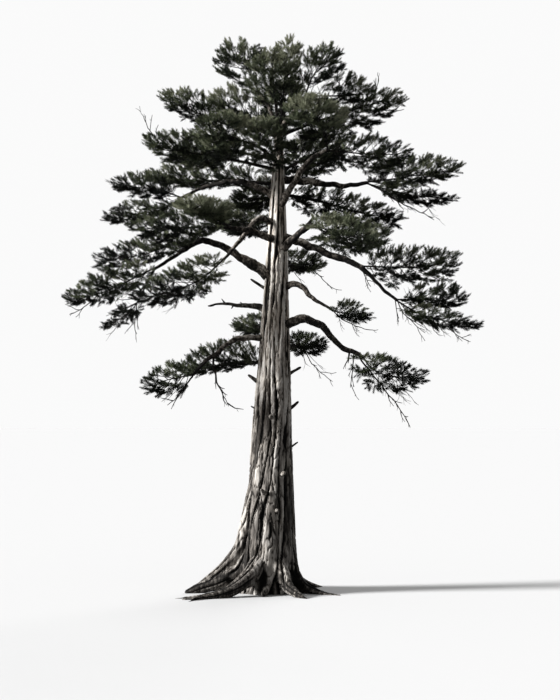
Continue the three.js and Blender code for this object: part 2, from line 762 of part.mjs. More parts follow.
// A twig that leaves the stem at t, on a bearing round it, and its side twig.
function growTwig(mass, t, share, around, random, twigs) {
  const { ahead, side, over } = frameAt(mass, t);
  const reach = reachAt(mass, around) * swell(share) * random(...REACH_RANGE);
  const widest = Math.sin(along(TWIG_SPREAD, share) * DEGREE);
  const length = Math.max(reach / widest, SHORTEST_REACH);
  const spread = Math.asin(reach / length);
  const outward = side
    .clone()
    .multiplyScalar(Math.cos(around * DEGREE))
    .addScaledVector(over, Math.sin(around * DEGREE));
  const across = new THREE.Vector3().crossVectors(outward, ahead);
  const direction = ahead.multiplyScalar(Math.cos(spread)).addScaledVector(outward, Math.sin(spread));
  const root = pointAt(mass.path, t);
  const grown = addTwig(mass, root, direction, random, length, BARE_SHARE, twigs);
  if (!grown) return;
  const turn = (across.z > 0 ? 1 : -1) * SIDE_TWIG_TURN;
  const turned = direction.clone().addScaledVector(across, turn);
  const fork = root.clone().addScaledVector(grown.ahead, grown.length * SIDE_TWIG_AT);
  addTwig(mass, fork, turned, random, SIDE_TWIG_LENGTH, SIDE_BARE_SHARE, twigs, grown.twig);
}

// Grows one mass by the rule: its stem, the twig at its tip, and its twigs in a spiral.
function growMass(mass, index) {
  const random = randomFrom(GROWTH_SEED + index);
  const foot = mass.on ? STEM_RADIUS : TRUNK_STEM_RADIUS;
  const stem = tube(mass.path, tapered([foot, STEM_TIP_RADIUS]), STEM_SIDES, mass.seat && mass.seat.normal);
  const twigs = [];
  const count = Math.round((mass.length * (1 - mass.first)) / TWIG_SPACING);
  const start = random(0, 360);
  const tip = pointAt(mass.path, TIP_TWIG_AT);
  addTwig(mass, tip, directionAt(mass.path, 1), random, TIP_TWIG_LENGTH, SIDE_BARE_SHARE, twigs);
  for (let i = 0; i < count; i++) {
    const share = (i + 0.5) / count;
    growTwig(mass, mass.first + (1 - mass.first) * share, share, start + i * SPIRAL, random, twigs);
  }
  for (let i = 0; i < (mass.bare || 0); i++) twigs.push(...bareTwig(mass, random));
  const clear = mass.on ? stem : stem.subtract(trunkGrown);
  return biggestPart(wasm.Manifold.union([clear, ...twigs])).simplify(SIMPLIFY);
}

// A dead, leafless twig that hangs from the stem.
function bareTwig(mass, random) {
  const t = mass.first + (1 - mass.first) * random(0, BARE_TWIG_LAST);
  const bearing = along(mass.bearing, t) + random(-BARE_TWIG_TURN, BARE_TWIG_TURN);
  const length = BARE_TWIG_LENGTH * random(...BARE_TWIG_SIZES);
  const root = pointAt(mass.path, t);
  const path = walk(root, [bearing], BARE_TWIG_CLIMB, length, BARE_TWIG_STEPS, random, BARE_TWIG_WOBBLE);
  const solid = tube(path, tapered(BARE_TWIG_RADII), BARE_TWIG_SIDES);
  return touchesPlaced(solid) ? [] : [solid];
}

// The largest of a union's parts: a scrap that misses its twig is dropped.
function biggestPart(solid) {
  return solid.decompose().reduce((a, b) => (b.volume() > a.volume() ? b : a));
}

const masses = MASSES.map(stemOf);
masses.forEach((mass, index) => place("foliage_" + mass.name, growMass(mass, index)));

// Colours and finishes: furrowed grey-brown bark and dark needles.
const bark = new THREE.MeshStandardMaterial({ color: 0x6b5f54, roughness: 0.95, metalness: 0 });
const deadWood = new THREE.MeshStandardMaterial({ color: 0x8f877b, roughness: 0.9, metalness: 0 });
const needles = new THREE.MeshStandardMaterial({ color: 0x2c3a2c, roughness: 0.8, metalness: 0 });

function materialFor(name) {
  if (name.startsWith("foliage_")) return needles;
  return name.endsWith("_dead") ? deadWood : bark;
}

const tree = new THREE.Group();
tree.name = "pine_tree";
for (const { name, solid } of placed) {
  const mesh = solid.getMesh();
  const geometry = new THREE.BufferGeometry();
  geometry.setAttribute("position", new THREE.BufferAttribute(new Float32Array(mesh.vertProperties), 3));
  geometry.setIndex(new THREE.BufferAttribute(new Uint32Array(mesh.triVerts), 1));
  geometry.computeVertexNormals();
  const part = new THREE.Mesh(geometry, materialFor(name));
  part.name = name;
  tree.add(part);
}

export default tree;
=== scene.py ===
# The old pine as it looks: furrowed bark over the trunk, roots and boughs, and twigs with needle
# shoots that grow on from the limbs by the same rule as the solids. Metres, +Z up, the view of the
# drawing along +Y.
import json
import math

import bmesh
import bpy
import numpy as np
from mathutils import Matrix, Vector, noise

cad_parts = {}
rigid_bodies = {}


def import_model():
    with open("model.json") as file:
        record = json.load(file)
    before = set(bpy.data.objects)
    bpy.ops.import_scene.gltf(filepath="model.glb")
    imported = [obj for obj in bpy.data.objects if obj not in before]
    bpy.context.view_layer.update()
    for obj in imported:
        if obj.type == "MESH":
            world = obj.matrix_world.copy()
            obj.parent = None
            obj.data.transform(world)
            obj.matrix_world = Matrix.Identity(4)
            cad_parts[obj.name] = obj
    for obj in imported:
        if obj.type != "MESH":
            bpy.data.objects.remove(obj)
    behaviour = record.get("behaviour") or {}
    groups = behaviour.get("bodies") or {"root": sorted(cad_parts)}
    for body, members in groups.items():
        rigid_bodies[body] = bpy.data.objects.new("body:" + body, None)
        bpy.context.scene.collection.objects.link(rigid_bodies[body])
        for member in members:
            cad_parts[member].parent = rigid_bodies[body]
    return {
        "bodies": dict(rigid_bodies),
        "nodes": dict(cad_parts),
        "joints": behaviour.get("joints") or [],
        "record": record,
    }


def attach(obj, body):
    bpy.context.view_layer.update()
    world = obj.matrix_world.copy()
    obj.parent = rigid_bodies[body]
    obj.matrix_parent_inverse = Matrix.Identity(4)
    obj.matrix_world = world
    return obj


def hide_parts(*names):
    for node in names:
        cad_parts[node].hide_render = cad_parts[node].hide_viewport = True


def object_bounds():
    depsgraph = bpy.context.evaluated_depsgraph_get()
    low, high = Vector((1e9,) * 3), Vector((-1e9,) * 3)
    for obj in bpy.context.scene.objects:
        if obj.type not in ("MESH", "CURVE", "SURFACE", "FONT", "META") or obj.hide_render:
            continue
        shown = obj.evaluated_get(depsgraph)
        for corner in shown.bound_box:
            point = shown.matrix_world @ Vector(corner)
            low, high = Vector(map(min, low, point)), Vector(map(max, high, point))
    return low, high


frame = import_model()
cad_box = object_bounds()

# The view: the drawing sees the tree from a low rise, far enough off to look almost level.
CAMERA_PLACE = (0.32, -46.0, 5.0)
CAMERA_TARGET = (0.32, 0.0, 6.42)
CAMERA_LENS = 88.7
CAMERA_REACH = 600

# Each light: its place, strength and angle of softness. Floor and room have one level as they
# light the tree, and a paler one as the camera sees them.
LIGHTS = dict(main_light=((-35.5, -7.5, 18), 8.6, 14), back_light=((14, 32, 15), 2.2, 40))
LIT_MIDDLE = (0, 0, 6)
ROOM_LEVELS = (0.22, 0.96)
FLOOR_LEVELS = (0.18, 0.76)
FLOOR_SIZE = 300


def rows_of(columns, *rows):
    """Each row as a dictionary by its column's name. A row may leave out its last columns."""
    return [dict(zip(columns.split(), row)) for row in rows]


# Driving sizes of the trunk, as in the solids.
FORK_HEIGHT = 12.45
FORK_RADIUS = 0.095
TAPER = 0.0515
LEAN = 0.3
LEAN_CURVE = 0.8
FLUTES = 7
FLUTE_DEPTH = 0.045
FLUTE_TWIST = 0.11
FOOT_SWELL = 0.15
FOOT_SWELL_HEIGHT = 0.5
CLEARANCE = 0.0003
LIMB_WOBBLE = 5
ROOT_STEPS = 6

# The seeds that limbs, stems and roots are drawn from, as in the solids, and those of the growth
# that is drawn here alone. A limb's own seed adds its place in its table. BEND_SEED fixes the
# small bends of the boughs, so that every run draws them alike.
BOUGH_SEED = 100
STEM_SEED = 300
ROOT_SEED = 900
GROWTH_SEED = 1000
DEAD_TWIG_SEED = 3000
NEEDLE_SEED = 7
BEND_SEED = 11
noise.seed_set(BEND_SEED)

# Surface roots: "inside" is how far from the trunk's axis a root starts, and "at" how high.
# Every bearing turns in plan, 0 to the right and 90 away from the viewer; every climb is above
# level. Both are read evenly along the length.
ROOTS = rows_of(
    "bearing climb length thick inside at",
    ((190, 192, 196), (-50, -36, -23, -20, -16), 2.25, (0.35, 0.11), 0.3, 1),
    ((184, 188, 194), (-70, -75, -79, -73, -58, -47, -41, -40, -42), 3.6, (0.3, 0.06), 0.28, 2.95),
    ((238, 232, 222, 208, 200), (-50, -37, -26, -13, -9, -7, -3), 2.85, (0.3, 0.055), 0.42, 0.9),
    ((262, 268, 262), (-52, -40, -22, -8), 1.15, (0.21, 0.06), 0.45, 0.62),
    ((296, 300, 308), (-62, -48, -32, -14, -5), 1.9, (0.26, 0.06), 0.43, 0.9),
    ((336, 334, 328), (-76, -70, -54, -20, -2, 0), 2.3, (0.27, 0.06), 0.42, 1.15),
    ((42, 38, 46), (-60, -46, -28, -12, -5), 2.1, (0.26, 0.06), 0.42, 0.9),
    ((84, 90, 80), (-60, -46, -28, -12, -5), 2.2, (0.27, 0.06), 0.43, 0.95),
    ((140, 134, 142), (-60, -48, -32, -14, -5), 2.3, (0.28, 0.06), 0.42, 1),
)

# Broken stubs on the bare trunk: height, bearing, climb, length past the bark and radius there.
STUBS = rows_of(
    "at bearing climb length thick",
    (8.08, 188, 32, 0.43, 0.042),
    (5.58, 186, 36, 0.3, 0.06),
    (5.8, 352, 30, 0.33, 0.048),
    (4.88, 350, 40, 0.26, 0.052),
    (4.86, 182, 30, 0.13, 0.03),
    (3.86, 348, 35, 0.19, 0.034),
    (4.64, 264, 10, 0.18, 0.072),
    (3.12, 297, 20, 0.2, 0.07),
    (2.64, 253, 20, 0.29, 0.066),
    (2.18, 284, 5, 0.17, 0.06),
    (6.9, 72, 20, 0.24, 0.046),
    (4.3, 118, 25, 0.22, 0.048),
)

# Main boughs. A bough leaves the trunk's axis at the height in foot_on, or the tip of the bough
# that foot_on names. Its two thicknesses are its radius at foot and tip.
BOUGHS = rows_of(
    "name foot_on bearing climb length thick",
    ("left_1", 6.67, (196, 204), (8, 6, 0, -22, -50, -38, -42, -52), 2.6, (0.088, 0.052)),
    ("left_2_dead", 7.38, (186, 182), (10, 30, 8, -6, 18, -16, -10), 1.85, (0.092, 0.02)),
    ("left_3_inner", 8.29, (188, 190), (28, 36, 26, 36, 18, 6), 2.28, (0.15, 0.095)),
    ("left_3_outer", "left_3_inner", (190, 194), (-22, -38, -34, -28), 1.5, (0.055, 0.05)),
    ("left_4", 9.33, (226, 232), (18, 12, 3, -3), 1.9, (0.098, 0.064)),
    ("left_5", 9.77, (214, 216), (26, 4, -50, -44, -48, -42), 2.25, (0.08, 0.05)),
    ("left_6", 10.48, (170, 166, 170), (26, 30, 10, -10, -22, -24), 2.86, (0.084, 0.05)),
    ("left_8", 12.14, (176, 172), (26, 20, 6, 6), 1.54, (0.06, 0.044)),
    ("top_left", 12.22, (178, 186), (64, 70, 60, 54), 1.26, (0.07, 0.048)),
    ("top_right", 12.24, (4, -4), (58, 50, 54, 52), 1.24, (0.068, 0.052)),
    ("right_7", 10.99, (4, 8), (2, -6, -7, 4, 9), 2.42, (0.098, 0.064)),
    ("right_6", 10.18, (322, 330), (44, 52, 54, 30, 16), 2.25, (0.098, 0.062)),
    ("right_4_inner", 9.42, (352, 354), (2, -20, -24, -18, -30), 2.45, (0.112, 0.092)),
    ("right_4_outer", "right_4_inner", (352, 356), (-38, -46, -36), 1.25, (0.054, 0.05)),
    ("right_3", 8.99, (318, 322), (30, 32, 24), 1.42, (0.118, 0.076)),
    ("right_2", 7.965, (332, 338), (34, 26, -16, -44, -44, -24, -34), 1.94, (0.092, 0.04)),
    ("right_1", 7, (344, 348), (16, 24, 2, -30, -50, -44, -20, -34), 2.8, (0.124, 0.066)),
)
BOUGH_STEPS_PER_METRE = 3.4
SHORTEST_BOUGH_STEPS = 4
SNAG = dict(on="right_3", share=0.78, bearing=330, climb=46, length=0.42, thick=0.046)

# Masses of needles, each along a stem that leaves a bough's tip or the trunk. Width, rise and drop
# are the mass's reach to each side of the stem, above it and below it. "bare" counts its dead
# twigs, and "first" is the share of the stem at which its first twig stands.
MASSES = rows_of(
    "name foot_on bearing climb length width rise drop bare first",
    ("left_1_outer", "left_1", (196, 188), (-16, -8), 1, 0.7, 0.48, 0.58, 3),
    ("left_1_inner", 6.06, (158, 152), (8, -2, -8), 2.5, 0.62, 0.72, 0.3, 0, 0.12),
    ("back_left_1", 6.82, (112, 106), (12, 6, 0), 2.4, 0.64, 0.42, 0.33),
    ("back_right_1", 6.56, (62, 68), (6, 2, 0), 2.55, 0.64, 0.4, 0.36, 2),
    ("right_1", "right_1", (290, 330, 350), (-46, -18, 2), 1.5, 0.76, 0.5, 0.56, 5),
    ("right_2", "right_2", (310, 335), (-14, -10), 0.85, 0.58, 0.38, 0.3, 2),
    ("left_3_upper", "left_3_inner", (178, 184), (-6, -18, -8), 2.6, 0.7, 0.52, 0.42),
    ("left_3_tip", "left_3_outer", (192, 184), (-30, -22, -8), 2.05, 0.76, 0.62, 0.4, 2),
    ("left_3_lower", "left_3_outer", (206, 196), (-62, -70, -54, -14), 1.85, 0.52, 0.33, 0.33, 2,
     0.5),
    ("left_4_outer", "left_4", (214, 196), (4, -4, 0), 2.25, 0.76, 0.48, 0.5),
    ("left_4_front", "left_4", (242, 252), (12, 6, 2), 2.5, 0.8, 0.46, 0.2),
    ("left_5", "left_5", (212, 196), (-38, -28, -10), 2.3, 0.76, 0.62, 0.46, 2),
    ("left_6_inner", 10.86, (146, 152, 166), (10, 4, 0), 3.7, 0.64, 0.6, 0.3, 0, 0.16),
    ("left_6_upper", "left_6", (172, 178), (20, 12, 12), 1.6, 0.64, 0.48, 0.4),
    ("left_6_tip", "left_6", (164, 170), (-26, -14, -2), 1.85, 0.7, 0.48, 0.38, 2),
    ("left_7_outer", 11.23, (208, 198, 186), (12, 6, 8, 20), 3.25, 0.76, 0.62, 0.56),
    ("left_7_front", 11.42, (236, 244), (16, 8, 4), 3.1, 0.9, 0.64, 0.98),
    ("front_7", 11.25, (262, 256), (18, 12, 6), 2.6, 0.9, 0.62, 1.1),
    ("left_8_outer", "left_8", (184, 180), (16, 24, 20), 1.45, 0.64, 0.62, 0.42),
    ("left_8_inner", 11.98, (118, 146, 160), (48, 34, 16), 2.3, 0.7, 0.86, 0.48),
    ("top_left", "top_left", (190, 165), (68, 58, 50), 1.08, 0.86, 0.72, 1.05),
    ("top_right", "top_right", (-6, 0), (70, 62, 54), 1.05, 0.76, 0.66, 0.95),
    ("top_right_side", "top_right", (12, 4), (6, 6, 10), 1.4, 0.76, 0.72, 0.64),
    ("top_centre", 12.3, (40, 20), (78, 82, 82), 2.015, 0.8, 0.7, 0.7),
    ("top_front", 12.15, (262, 268), (62, 48, 38), 2, 0.96, 0.62, 0.86),
    ("top_back", 12, (84, 92), (46, 36, 30), 2.7, 0.98, 0.62, 0.82),
    ("right_8", 12.15, (22, 14, 8), (25, 18, 13, 15), 3.3, 0.68, 0.5, 0.78, 0, 0.16),
    ("right_6_upper", "right_6", (258, 244), (44, 20, 8), 2, 0.9, 0.56, 0.8),
    ("right_6_outer", "right_6", (344, 354), (-6, -4, 4), 1.7, 0.72, 0.56, 0.7),
    ("right_7_outer", "right_7", (12, 4), (6, 6, 10), 2.25, 0.72, 0.6, 0.42),
    ("right_7_lower", "right_7", (352, 360), (-14, -12, -4), 2.1, 0.64, 0.33, 0.33, 2),
    ("right_5", 10.6, (30, 22, 18), (-4, -9, -10), 3.5, 0.64, 0.48, 0.56, 0, 0.08),
    ("right_3_outer", "right_3", (338, 344), (-28, -18, -2), 1.78, 0.72, 0.56, 0.48),
    ("right_3_front", "right_3", (312, 302), (-26, -14, -4), 2.4, 0.72, 0.6, 0.46),
    ("right_4_upper", "right_4_inner", (6, 2), (-4, 2, 18), 2.15, 0.7, 0.6, 0.82),
    ("right_4_middle", "right_4_outer", (6, 8), (-6, -4, -4), 1.5, 0.64, 0.76, 0.33),
    ("right_4_tip", "right_4_outer", (344, 352), (-34, -18, -6), 2.05, 0.6, 0.36, 0.33, 4),
    ("back_right_4", 8.5, (72, 66), (16, 8, 2), 2.6, 0.7, 0.46, 0.36, 1),
    ("back_left_5", 9.5, (112, 104), (14, 10, 4), 4.1, 0.88, 0.56, 0.42),
    ("back_left_6", 11, (108, 102), (-14, -10, 0), 3.1, 0.76, 0.52, 0.42, 0, 0.12),
    ("back_left_7", 11.5, (142, 136), (12, 8, 4), 3.4, 0.8, 0.56, 0.46),
    ("back_right_7", 11.15, (72, 62), (26, 16, 10), 3.4, 0.82, 0.76, 0.76, 0, 0.14),
)
STEM_RADIUS = 0.02
STEM_STEPS = 3
SEAT_SHARE = 0.94
FIRST_TWIG = 0.04
FIRST_TWIG_FROM_TRUNK = 0.36
SPIRAL = 137.5
TWIG_SPREAD = (66, 40)
FORWARD_SHARE = 0.8
DEPTH_CHECKS = 12

# The finer growth of the twigs, carried on inside the same reach. A pair of thicknesses is the
# radius at the foot and at the tip.
TWIG_SPACING = 0.06
TWIG_TRIES = (1.0, 0.88, 0.76, 0.64, 0.52)
SHORTEST_TWIG = 0.5
TWIG_RISE = 0.45
TWIG_THICK = (0.011, 0.005)
SIDE_TWIG_THICK = (0.006, 0.003)
BARE_TWIG_THICK = (0.012, 0.004)
STEM_TIP = 0.4
STEM_TIP_THICK = (0.009, 0.005)
STEM_AT_TRUNK = 0.044
STEM_FLARE = 1.3
SIDE_TWIG_SPACING = 0.085
SIDE_TWIG_START = 0.3
SIDE_TWIG_LONGEST = 0.42
SIDE_TWIG_SHORTEST = 0.14
SHOOT_LENGTH = 0.18
LEADING_SHOOT = 1.35
SIDE_SHOOT_TURN = 0.62
TRIANGLES_PER_PIECE = 190000
EDGE_SHARE = 1.14
LIMB_DISTANCE = 0.07
LIMB_CHECKS = 24
TRUNK_CHECK_FROM = 5
TRUNK_CHECK_STEP = 0.12
# A shoot's tip keeps this far inside the box of the solids, or at most this far outside it.
WITHIN_BOX = 0.01
BELOW_BOX = 0.03

# A needle is two triangles, folded along a keel. It opens from its shoot by NEEDLE_OPEN degrees at
# the shoot's foot and tip, and is widest at a share of its length.
NEEDLES_PER_SHOOT = 26
NEEDLE_LENGTH = (0.07, 0.11)
NEEDLE_OPEN = (56, 18)
NEEDLE_WIDTH = 0.017
NEEDLE_KEEL = 0.25
NEEDLE_WIDEST = 0.35
NEEDLE_SPIRAL = 2.399963
FULL_TURN = 6.283

# The relief of the bark: how many ridges stand round the trunk below and above, and how far each
# wanders in broad, middle and fine bends.
RIDGES_ROUND = 16
UPPER_RIDGES = 10
UPPER_RIDGES_FROM = (5.5, 8)
# Where the bark turns warmer and paler upwards; the paleness is partly painted light, lifting the trunk
# under the crown's shade.
WARM_AND_LIT_BARK_FROM = (3, 8)
RIDGE_BENDS = (1.1, 0.45, 0.14)
SPLIT_DEPTH = 0.5
CRACK_DEPTH = 0.3
ROOT_RIDGES = 6
ROOT_RIDGES_FROM = (0.12, 0.5)
# ROOT_SHADE is painted shade: it darkens the bark of the roots, and lowers their ridges too.
ROOT_SHADE = 0.22
FURROW_DEPTH = 0.095
FURROW_FLOOR = 0.8
FULL_FURROW_GIRTH = 0.55
FLAT_ROOT_FROM = 0.15
FLAT_ROOT_SHARE = 0.35
TRUNK_VOXEL = 0.0248
# The first stubs stand grey at the trunk's sides, the rest show pale broken ends.
SIDE_STUBS = 6

UP = Vector((0, 0, 1))

# Seeded random numbers, the same as the solids draw.
RANDOM_FACTOR = 48271
RANDOM_MODULUS = 2147483647
SEED_FACTOR = 7919
SEED_SHIFT = 104729


def random_from(seed):
    state = [(seed * SEED_FACTOR + SEED_SHIFT) % RANDOM_MODULUS]

    def draw(low=0.0, high=1.0):
        state[0] = (state[0] * RANDOM_FACTOR) % RANDOM_MODULUS
        return low + (high - low) * state[0] / RANDOM_MODULUS

    return draw


def along(values, t):
    """The value of an evenly spaced list at t from 0 to 1."""
    if len(values) == 1:
        return values[0]
    place = min(max(t, 0), 1) * (len(values) - 1)
    step = min(int(place), len(values) - 2)
    return values[step] + (values[step + 1] - values[step]) * (place - step)


def heading(bearing, climb):
    turn, tilt = math.radians(bearing), math.radians(climb)
    level = math.cos(tilt)
    return Vector((level * math.cos(turn), level * math.sin(turn), math.sin(tilt)))


def walk(start, bearings, climbs, length, steps, random=None, wobble=0):
    """A path from a start point by its bearing and climb angles."""
    points = [Vector(start)]
    for i in range(steps):
        t = (i + 0.5) / steps
        turn = random(-wobble, wobble) if random else 0
        tilt = random(-wobble, wobble) if random else 0
        step = heading(along(bearings, t) + turn, along(climbs, t) + tilt)
        points.append(points[-1] + step * (length / steps))
    return points


def point_at(path, t):
    place = min(max(t, 0), 1) * (len(path) - 1)
    step = min(int(place), len(path) - 2)
    return path[step].lerp(path[step + 1], place - step)


def direction_at(path, t):
    step = min(int(t * (len(path) - 1)), len(path) - 2)
    return (path[step + 1] - path[step]).normalized()


def rounded(path, count):
    """The path as a smooth curve through its points, in a count of even steps."""
    points = [path[0] * 2 - path[1], *path, path[-1] * 2 - path[-2]]
    curve = []
    for i in range(count + 1):
        place = i / count * (len(path) - 1)
        step = min(int(place), len(path) - 2)
        t = place - step
        a, b, c, d = points[step : step + 4]
        square = (2 * a - 5 * b + 4 * c - d) * t**2
        cube = (3 * b - a - 3 * c + d) * t**3
        curve.append(0.5 * (2 * b + (c - a) * t + square + cube))
    return curve


def trunk_centre(height):
    share = min(max(height / FORK_HEIGHT, 0), 1)
    return Vector((LEAN * share**LEAN_CURVE, 0, height))


def trunk_radius(height, angle):
    straight = FORK_RADIUS + (FORK_HEIGHT - height) * TAPER
    swell = FOOT_SWELL * math.exp(-max(height, 0) / FOOT_SWELL_HEIGHT)
    flute = FLUTE_DEPTH * math.cos(FLUTES * (angle - FLUTE_TWIST * height))
    return (straight + swell) * (1 + flute)


# Where the limbs and stems run, by the rule of the solids.
BOUGH_SIDES_IN_SOLIDS = 6
children = {}
for item in (*BOUGHS, *MASSES):
    item["on_bough"] = isinstance(item["foot_on"], str)
    item["foot"] = item["thick"][0] if "thick" in item else STEM_RADIUS
    children.setdefault(item["foot_on"], []).append(item)
boughs = {}


def seat_of(item):
    """Where a limb or stem starts: on the trunk's axis, or on the tip of its bough."""
    if not item["on_bough"]:
        return trunk_centre(item["foot_on"])
    bough = boughs[item["foot_on"]]
    normal = direction_at(bough["path"], 1)
    tip = bough["path"][-1] + normal * CLEARANCE
    others = [other for other in children[item["foot_on"]] if other is not item]
    if not others:
        return tip
    radius = bough["thick"][1] * math.cos(math.pi / BOUGH_SIDES_IN_SOLIDS) * SEAT_SHARE
    away = heading(item["bearing"][0], item["climb"][0])
    away -= heading(others[0]["bearing"][0], others[0]["climb"][0])
    away = (away - normal * away.dot(normal)).normalized()
    return tip + away * (radius - item["foot"])


def limb_path(item, start, steps, seed):
    draw = random_from(seed)
    return walk(start, item["bearing"], item["climb"], item["length"], steps, draw, LIMB_WOBBLE)


for index, bough in enumerate(BOUGHS):
    steps = max(SHORTEST_BOUGH_STEPS, math.floor(bough["length"] * BOUGH_STEPS_PER_METRE + 0.5))
    bough["path"] = limb_path(bough, seat_of(bough), steps, BOUGH_SEED + index)
    boughs[bough["name"]] = bough
for index, mass in enumerate(MASSES):
    mass["path"] = limb_path(mass, seat_of(mass), STEM_STEPS, STEM_SEED + index)
    mass.setdefault("first", FIRST_TWIG if mass["on_bough"] else FIRST_TWIG_FROM_TRUNK)


def swell(t):
    """How full a mass is at a share of its length: it starts slim and ends in a blunt tip."""
    return math.sin(math.pi * (0.14 + 0.74 * min(max(t, 0), 1))) ** 0.6


def frame_at(mass, t):
    """The directions ahead, to the right and over a stem at one share of its length."""
    ahead = heading(along(mass["bearing"], t), along(mass["climb"], t))
    side = heading(along(mass["bearing"], t) - 90, 0)
    return ahead, side, side.cross(ahead)


def space_of(mass):
    """The places along a mass's stem where its space is measured, with the directions there."""
    shares = [i / DEPTH_CHECKS for i in range(DEPTH_CHECKS + 1)]
    along_stem = [mass["first"] + (1 - mass["first"]) * share for share in shares]
    frames = [frame_at(mass, t) for t in along_stem]
    ahead, side, over = (np.array([frame[k] for frame in frames]) for k in range(3))
    places = np.array([point_at(mass["path"], t) for t in along_stem])
    return places, ahead, side, over, np.array([swell(share) for share in shares])


def depths_in(mass, points):
    """How deep each point lies in a mass: 0 on its stem, 1 at the edge of its space."""
    places, ahead, side, over, size = mass["space"]
    offset = points[:, None] - places
    across = (offset * side).sum(axis=2) / (mass["width"] * size)
    height = (offset * over).sum(axis=2)
    vertical = height / (np.where(height > 0, mass["rise"], mass["drop"]) * size)
    forward = (offset * ahead).sum(axis=2) / (mass["width"] * FORWARD_SHARE)
    return np.sqrt((across**2 + vertical**2 + forward**2).min(axis=1))


def reach_at(mass, around):
    """How far a mass reaches from its stem, on a bearing round it from its right-hand side."""
    across = math.cos(around) / mass["width"]
    rising = mass["rise"] if math.sin(around) > 0 else mass["drop"]
    return 1 / math.hypot(across, math.sin(around) / rising)


def object_of(mesh, name):
    piece = bpy.data.objects.new(name, mesh)
    bpy.context.scene.collection.objects.link(piece)
    return piece


def piece_of(bm, name):
    mesh = bpy.data.meshes.new(name)
    bm.to_mesh(mesh)
    bm.free()
    mesh.polygons.foreach_set("use_smooth", [True] * len(mesh.polygons))
    return object_of(mesh, name)


def add_tube(bm, path, radius_at, sides):
    """Adds a closed cylinder bent along a smooth path; radius_at takes the share and the angle."""
    rings = len(path) - 1
    tube = bmesh.new()
    bmesh.ops.create_cone(tube, cap_ends=True, segments=sides, radius1=1, radius2=1, depth=1)
    upright = [e for e in tube.edges if abs(e.verts[0].co.z - e.verts[1].co.z) > 0.5]
    bmesh.ops.subdivide_edges(tube, edges=upright, cuts=rings - 1, use_grid_fill=True)
    frames = []
    side = path[1] - path[0]
    side = side.cross(UP) if abs(side.normalized().z) < 0.9 else Vector((1, 0, 0))
    for i, point in enumerate(path):
        ahead = (path[min(i + 1, rings)] - path[max(i - 1, 0)]).normalized()
        side = (side - ahead * side.dot(ahead)).normalized()
        frames.append((point, side, ahead.cross(side)))
    for vert in tube.verts:
        ring = round((vert.co.z + 0.5) * rings)
        angle = math.atan2(vert.co.y, vert.co.x)
        point, right, over = frames[ring]
        radius = radius_at(ring / rings, angle)
        vert.co = point + right * (radius * math.cos(angle)) + over * (radius * math.sin(angle))
    shaped = bpy.data.meshes.new("tube")
    tube.to_mesh(shaped)
    tube.free()
    bm.from_mesh(shaped)
    bpy.data.meshes.remove(shaped)


# The trunk with its roots, joined into one skin.
ROOT_SIDES = 14
ROOT_RINGS = 26
TRUNK_SIDES = 64
TRUNK_RINGS = 90
BELOW_GROUND = 0.25
FLARE_SMOOTHING = 10
FLARE_TOP = 3.2
ROOT_LUMPS = 0.22
ROOT_FORK_STEPS = 10
ROOT_FORKS = rows_of(
    "start bearing climb length thick",
    ((-1.72, -1.79, 0.03), (236, 250, 240), (-3, -6), 0.85, (0.085, 0.03)),
    ((-1.3, -1.58, 0.1), (186, 180, 192), (-10, -4, -4), 1.1, (0.08, 0.03)),
)


def root_path(root, index):
    start = trunk_centre(root["at"]) + heading(root["bearing"][0], 0) * root["inside"]
    return rounded(limb_path(root, start, ROOT_STEPS, ROOT_SEED + index), ROOT_RINGS)


def knobbly_root(thick, seed):
    """A root's radius: tapering, and swollen here and there along it."""

    def radius(t, angle):
        lump = noise.noise(Vector((t * 5, math.cos(angle) * 0.6 + seed, math.sin(angle) * 0.6)))
        return along(thick, t) * (1 + ROOT_LUMPS * lump)

    return radius


def joined_skin(bm):
    """One closed skin round the overlapping tubes, by voxel remeshing."""
    piece = piece_of(bm, "trunk_skin")
    remesh = piece.modifiers.new("one_skin", "REMESH")
    remesh.mode = "VOXEL"
    remesh.voxel_size = TRUNK_VOXEL
    graph = bpy.context.evaluated_depsgraph_get()
    skin = bpy.data.meshes.new_from_object(piece.evaluated_get(graph))
    bpy.data.objects.remove(piece)
    return skin


def smooth_step(low, high, value):
    t = min(max((value - low) / (high - low), 0), 1)
    return t * t * (3 - 2 * t)


def ridges(turn, run, count, seed):
    """Long bark ridges: how high the bark stands, 0 in a furrow, and its ridge's own tone.

    Turn is the bearing round the limb and run the length along it. Some ridges split lengthwise,
    and short cracks cross them.
    """

    def waves(often, place_along):
        return noise.noise(Vector((math.cos(turn) * often, math.sin(turn) * often, place_along)))

    broad, middle, fine = (bend * (count / RIDGES_ROUND) for bend in RIDGE_BENDS)
    place = count * turn / (2 * math.pi)
    place += broad * waves(1.6, run * 0.36 + seed)
    place += middle * waves(4, run * 1.1 + 7 + seed)
    place += fine * waves(9, run * 4 + 3)
    height = smooth_step(0.03, 0.58, abs(math.sin(math.pi * place)))
    own = noise.noise(Vector((math.floor(place) * 3.7, run * 0.55, seed + 0.5)))
    whole = smooth_step(0.04, 0.45, abs(math.sin(math.pi * (place * 2 + 0.5))))
    split = smooth_step(-0.1, 0.3, waves(3, run * 0.7 - 4))
    height *= 1 - SPLIT_DEPTH * split * (1 - whole)
    crack = 1 - smooth_step(0, 0.1, abs(waves(6, run * 2.1 + 11)))
    return height * (1 - CRACK_DEPTH * crack), own


def root_frames():
    """Every root's points, the two directions across it there and its run, for its own ridges."""
    rows = []
    for index, root in enumerate(ROOTS):
        path = root_path(root, index)
        for i, point in enumerate(path):
            ahead = direction_at(path, i / len(path))
            side = ahead.cross(UP).normalized()
            run = index * 5 + i / ROOT_RINGS * root["length"]
            rows.append((*point, *side, *side.cross(ahead), run))
    table = np.array(rows)
    return table[:, 0:3], table[:, 3:6], table[:, 6:9], table[:, 9]


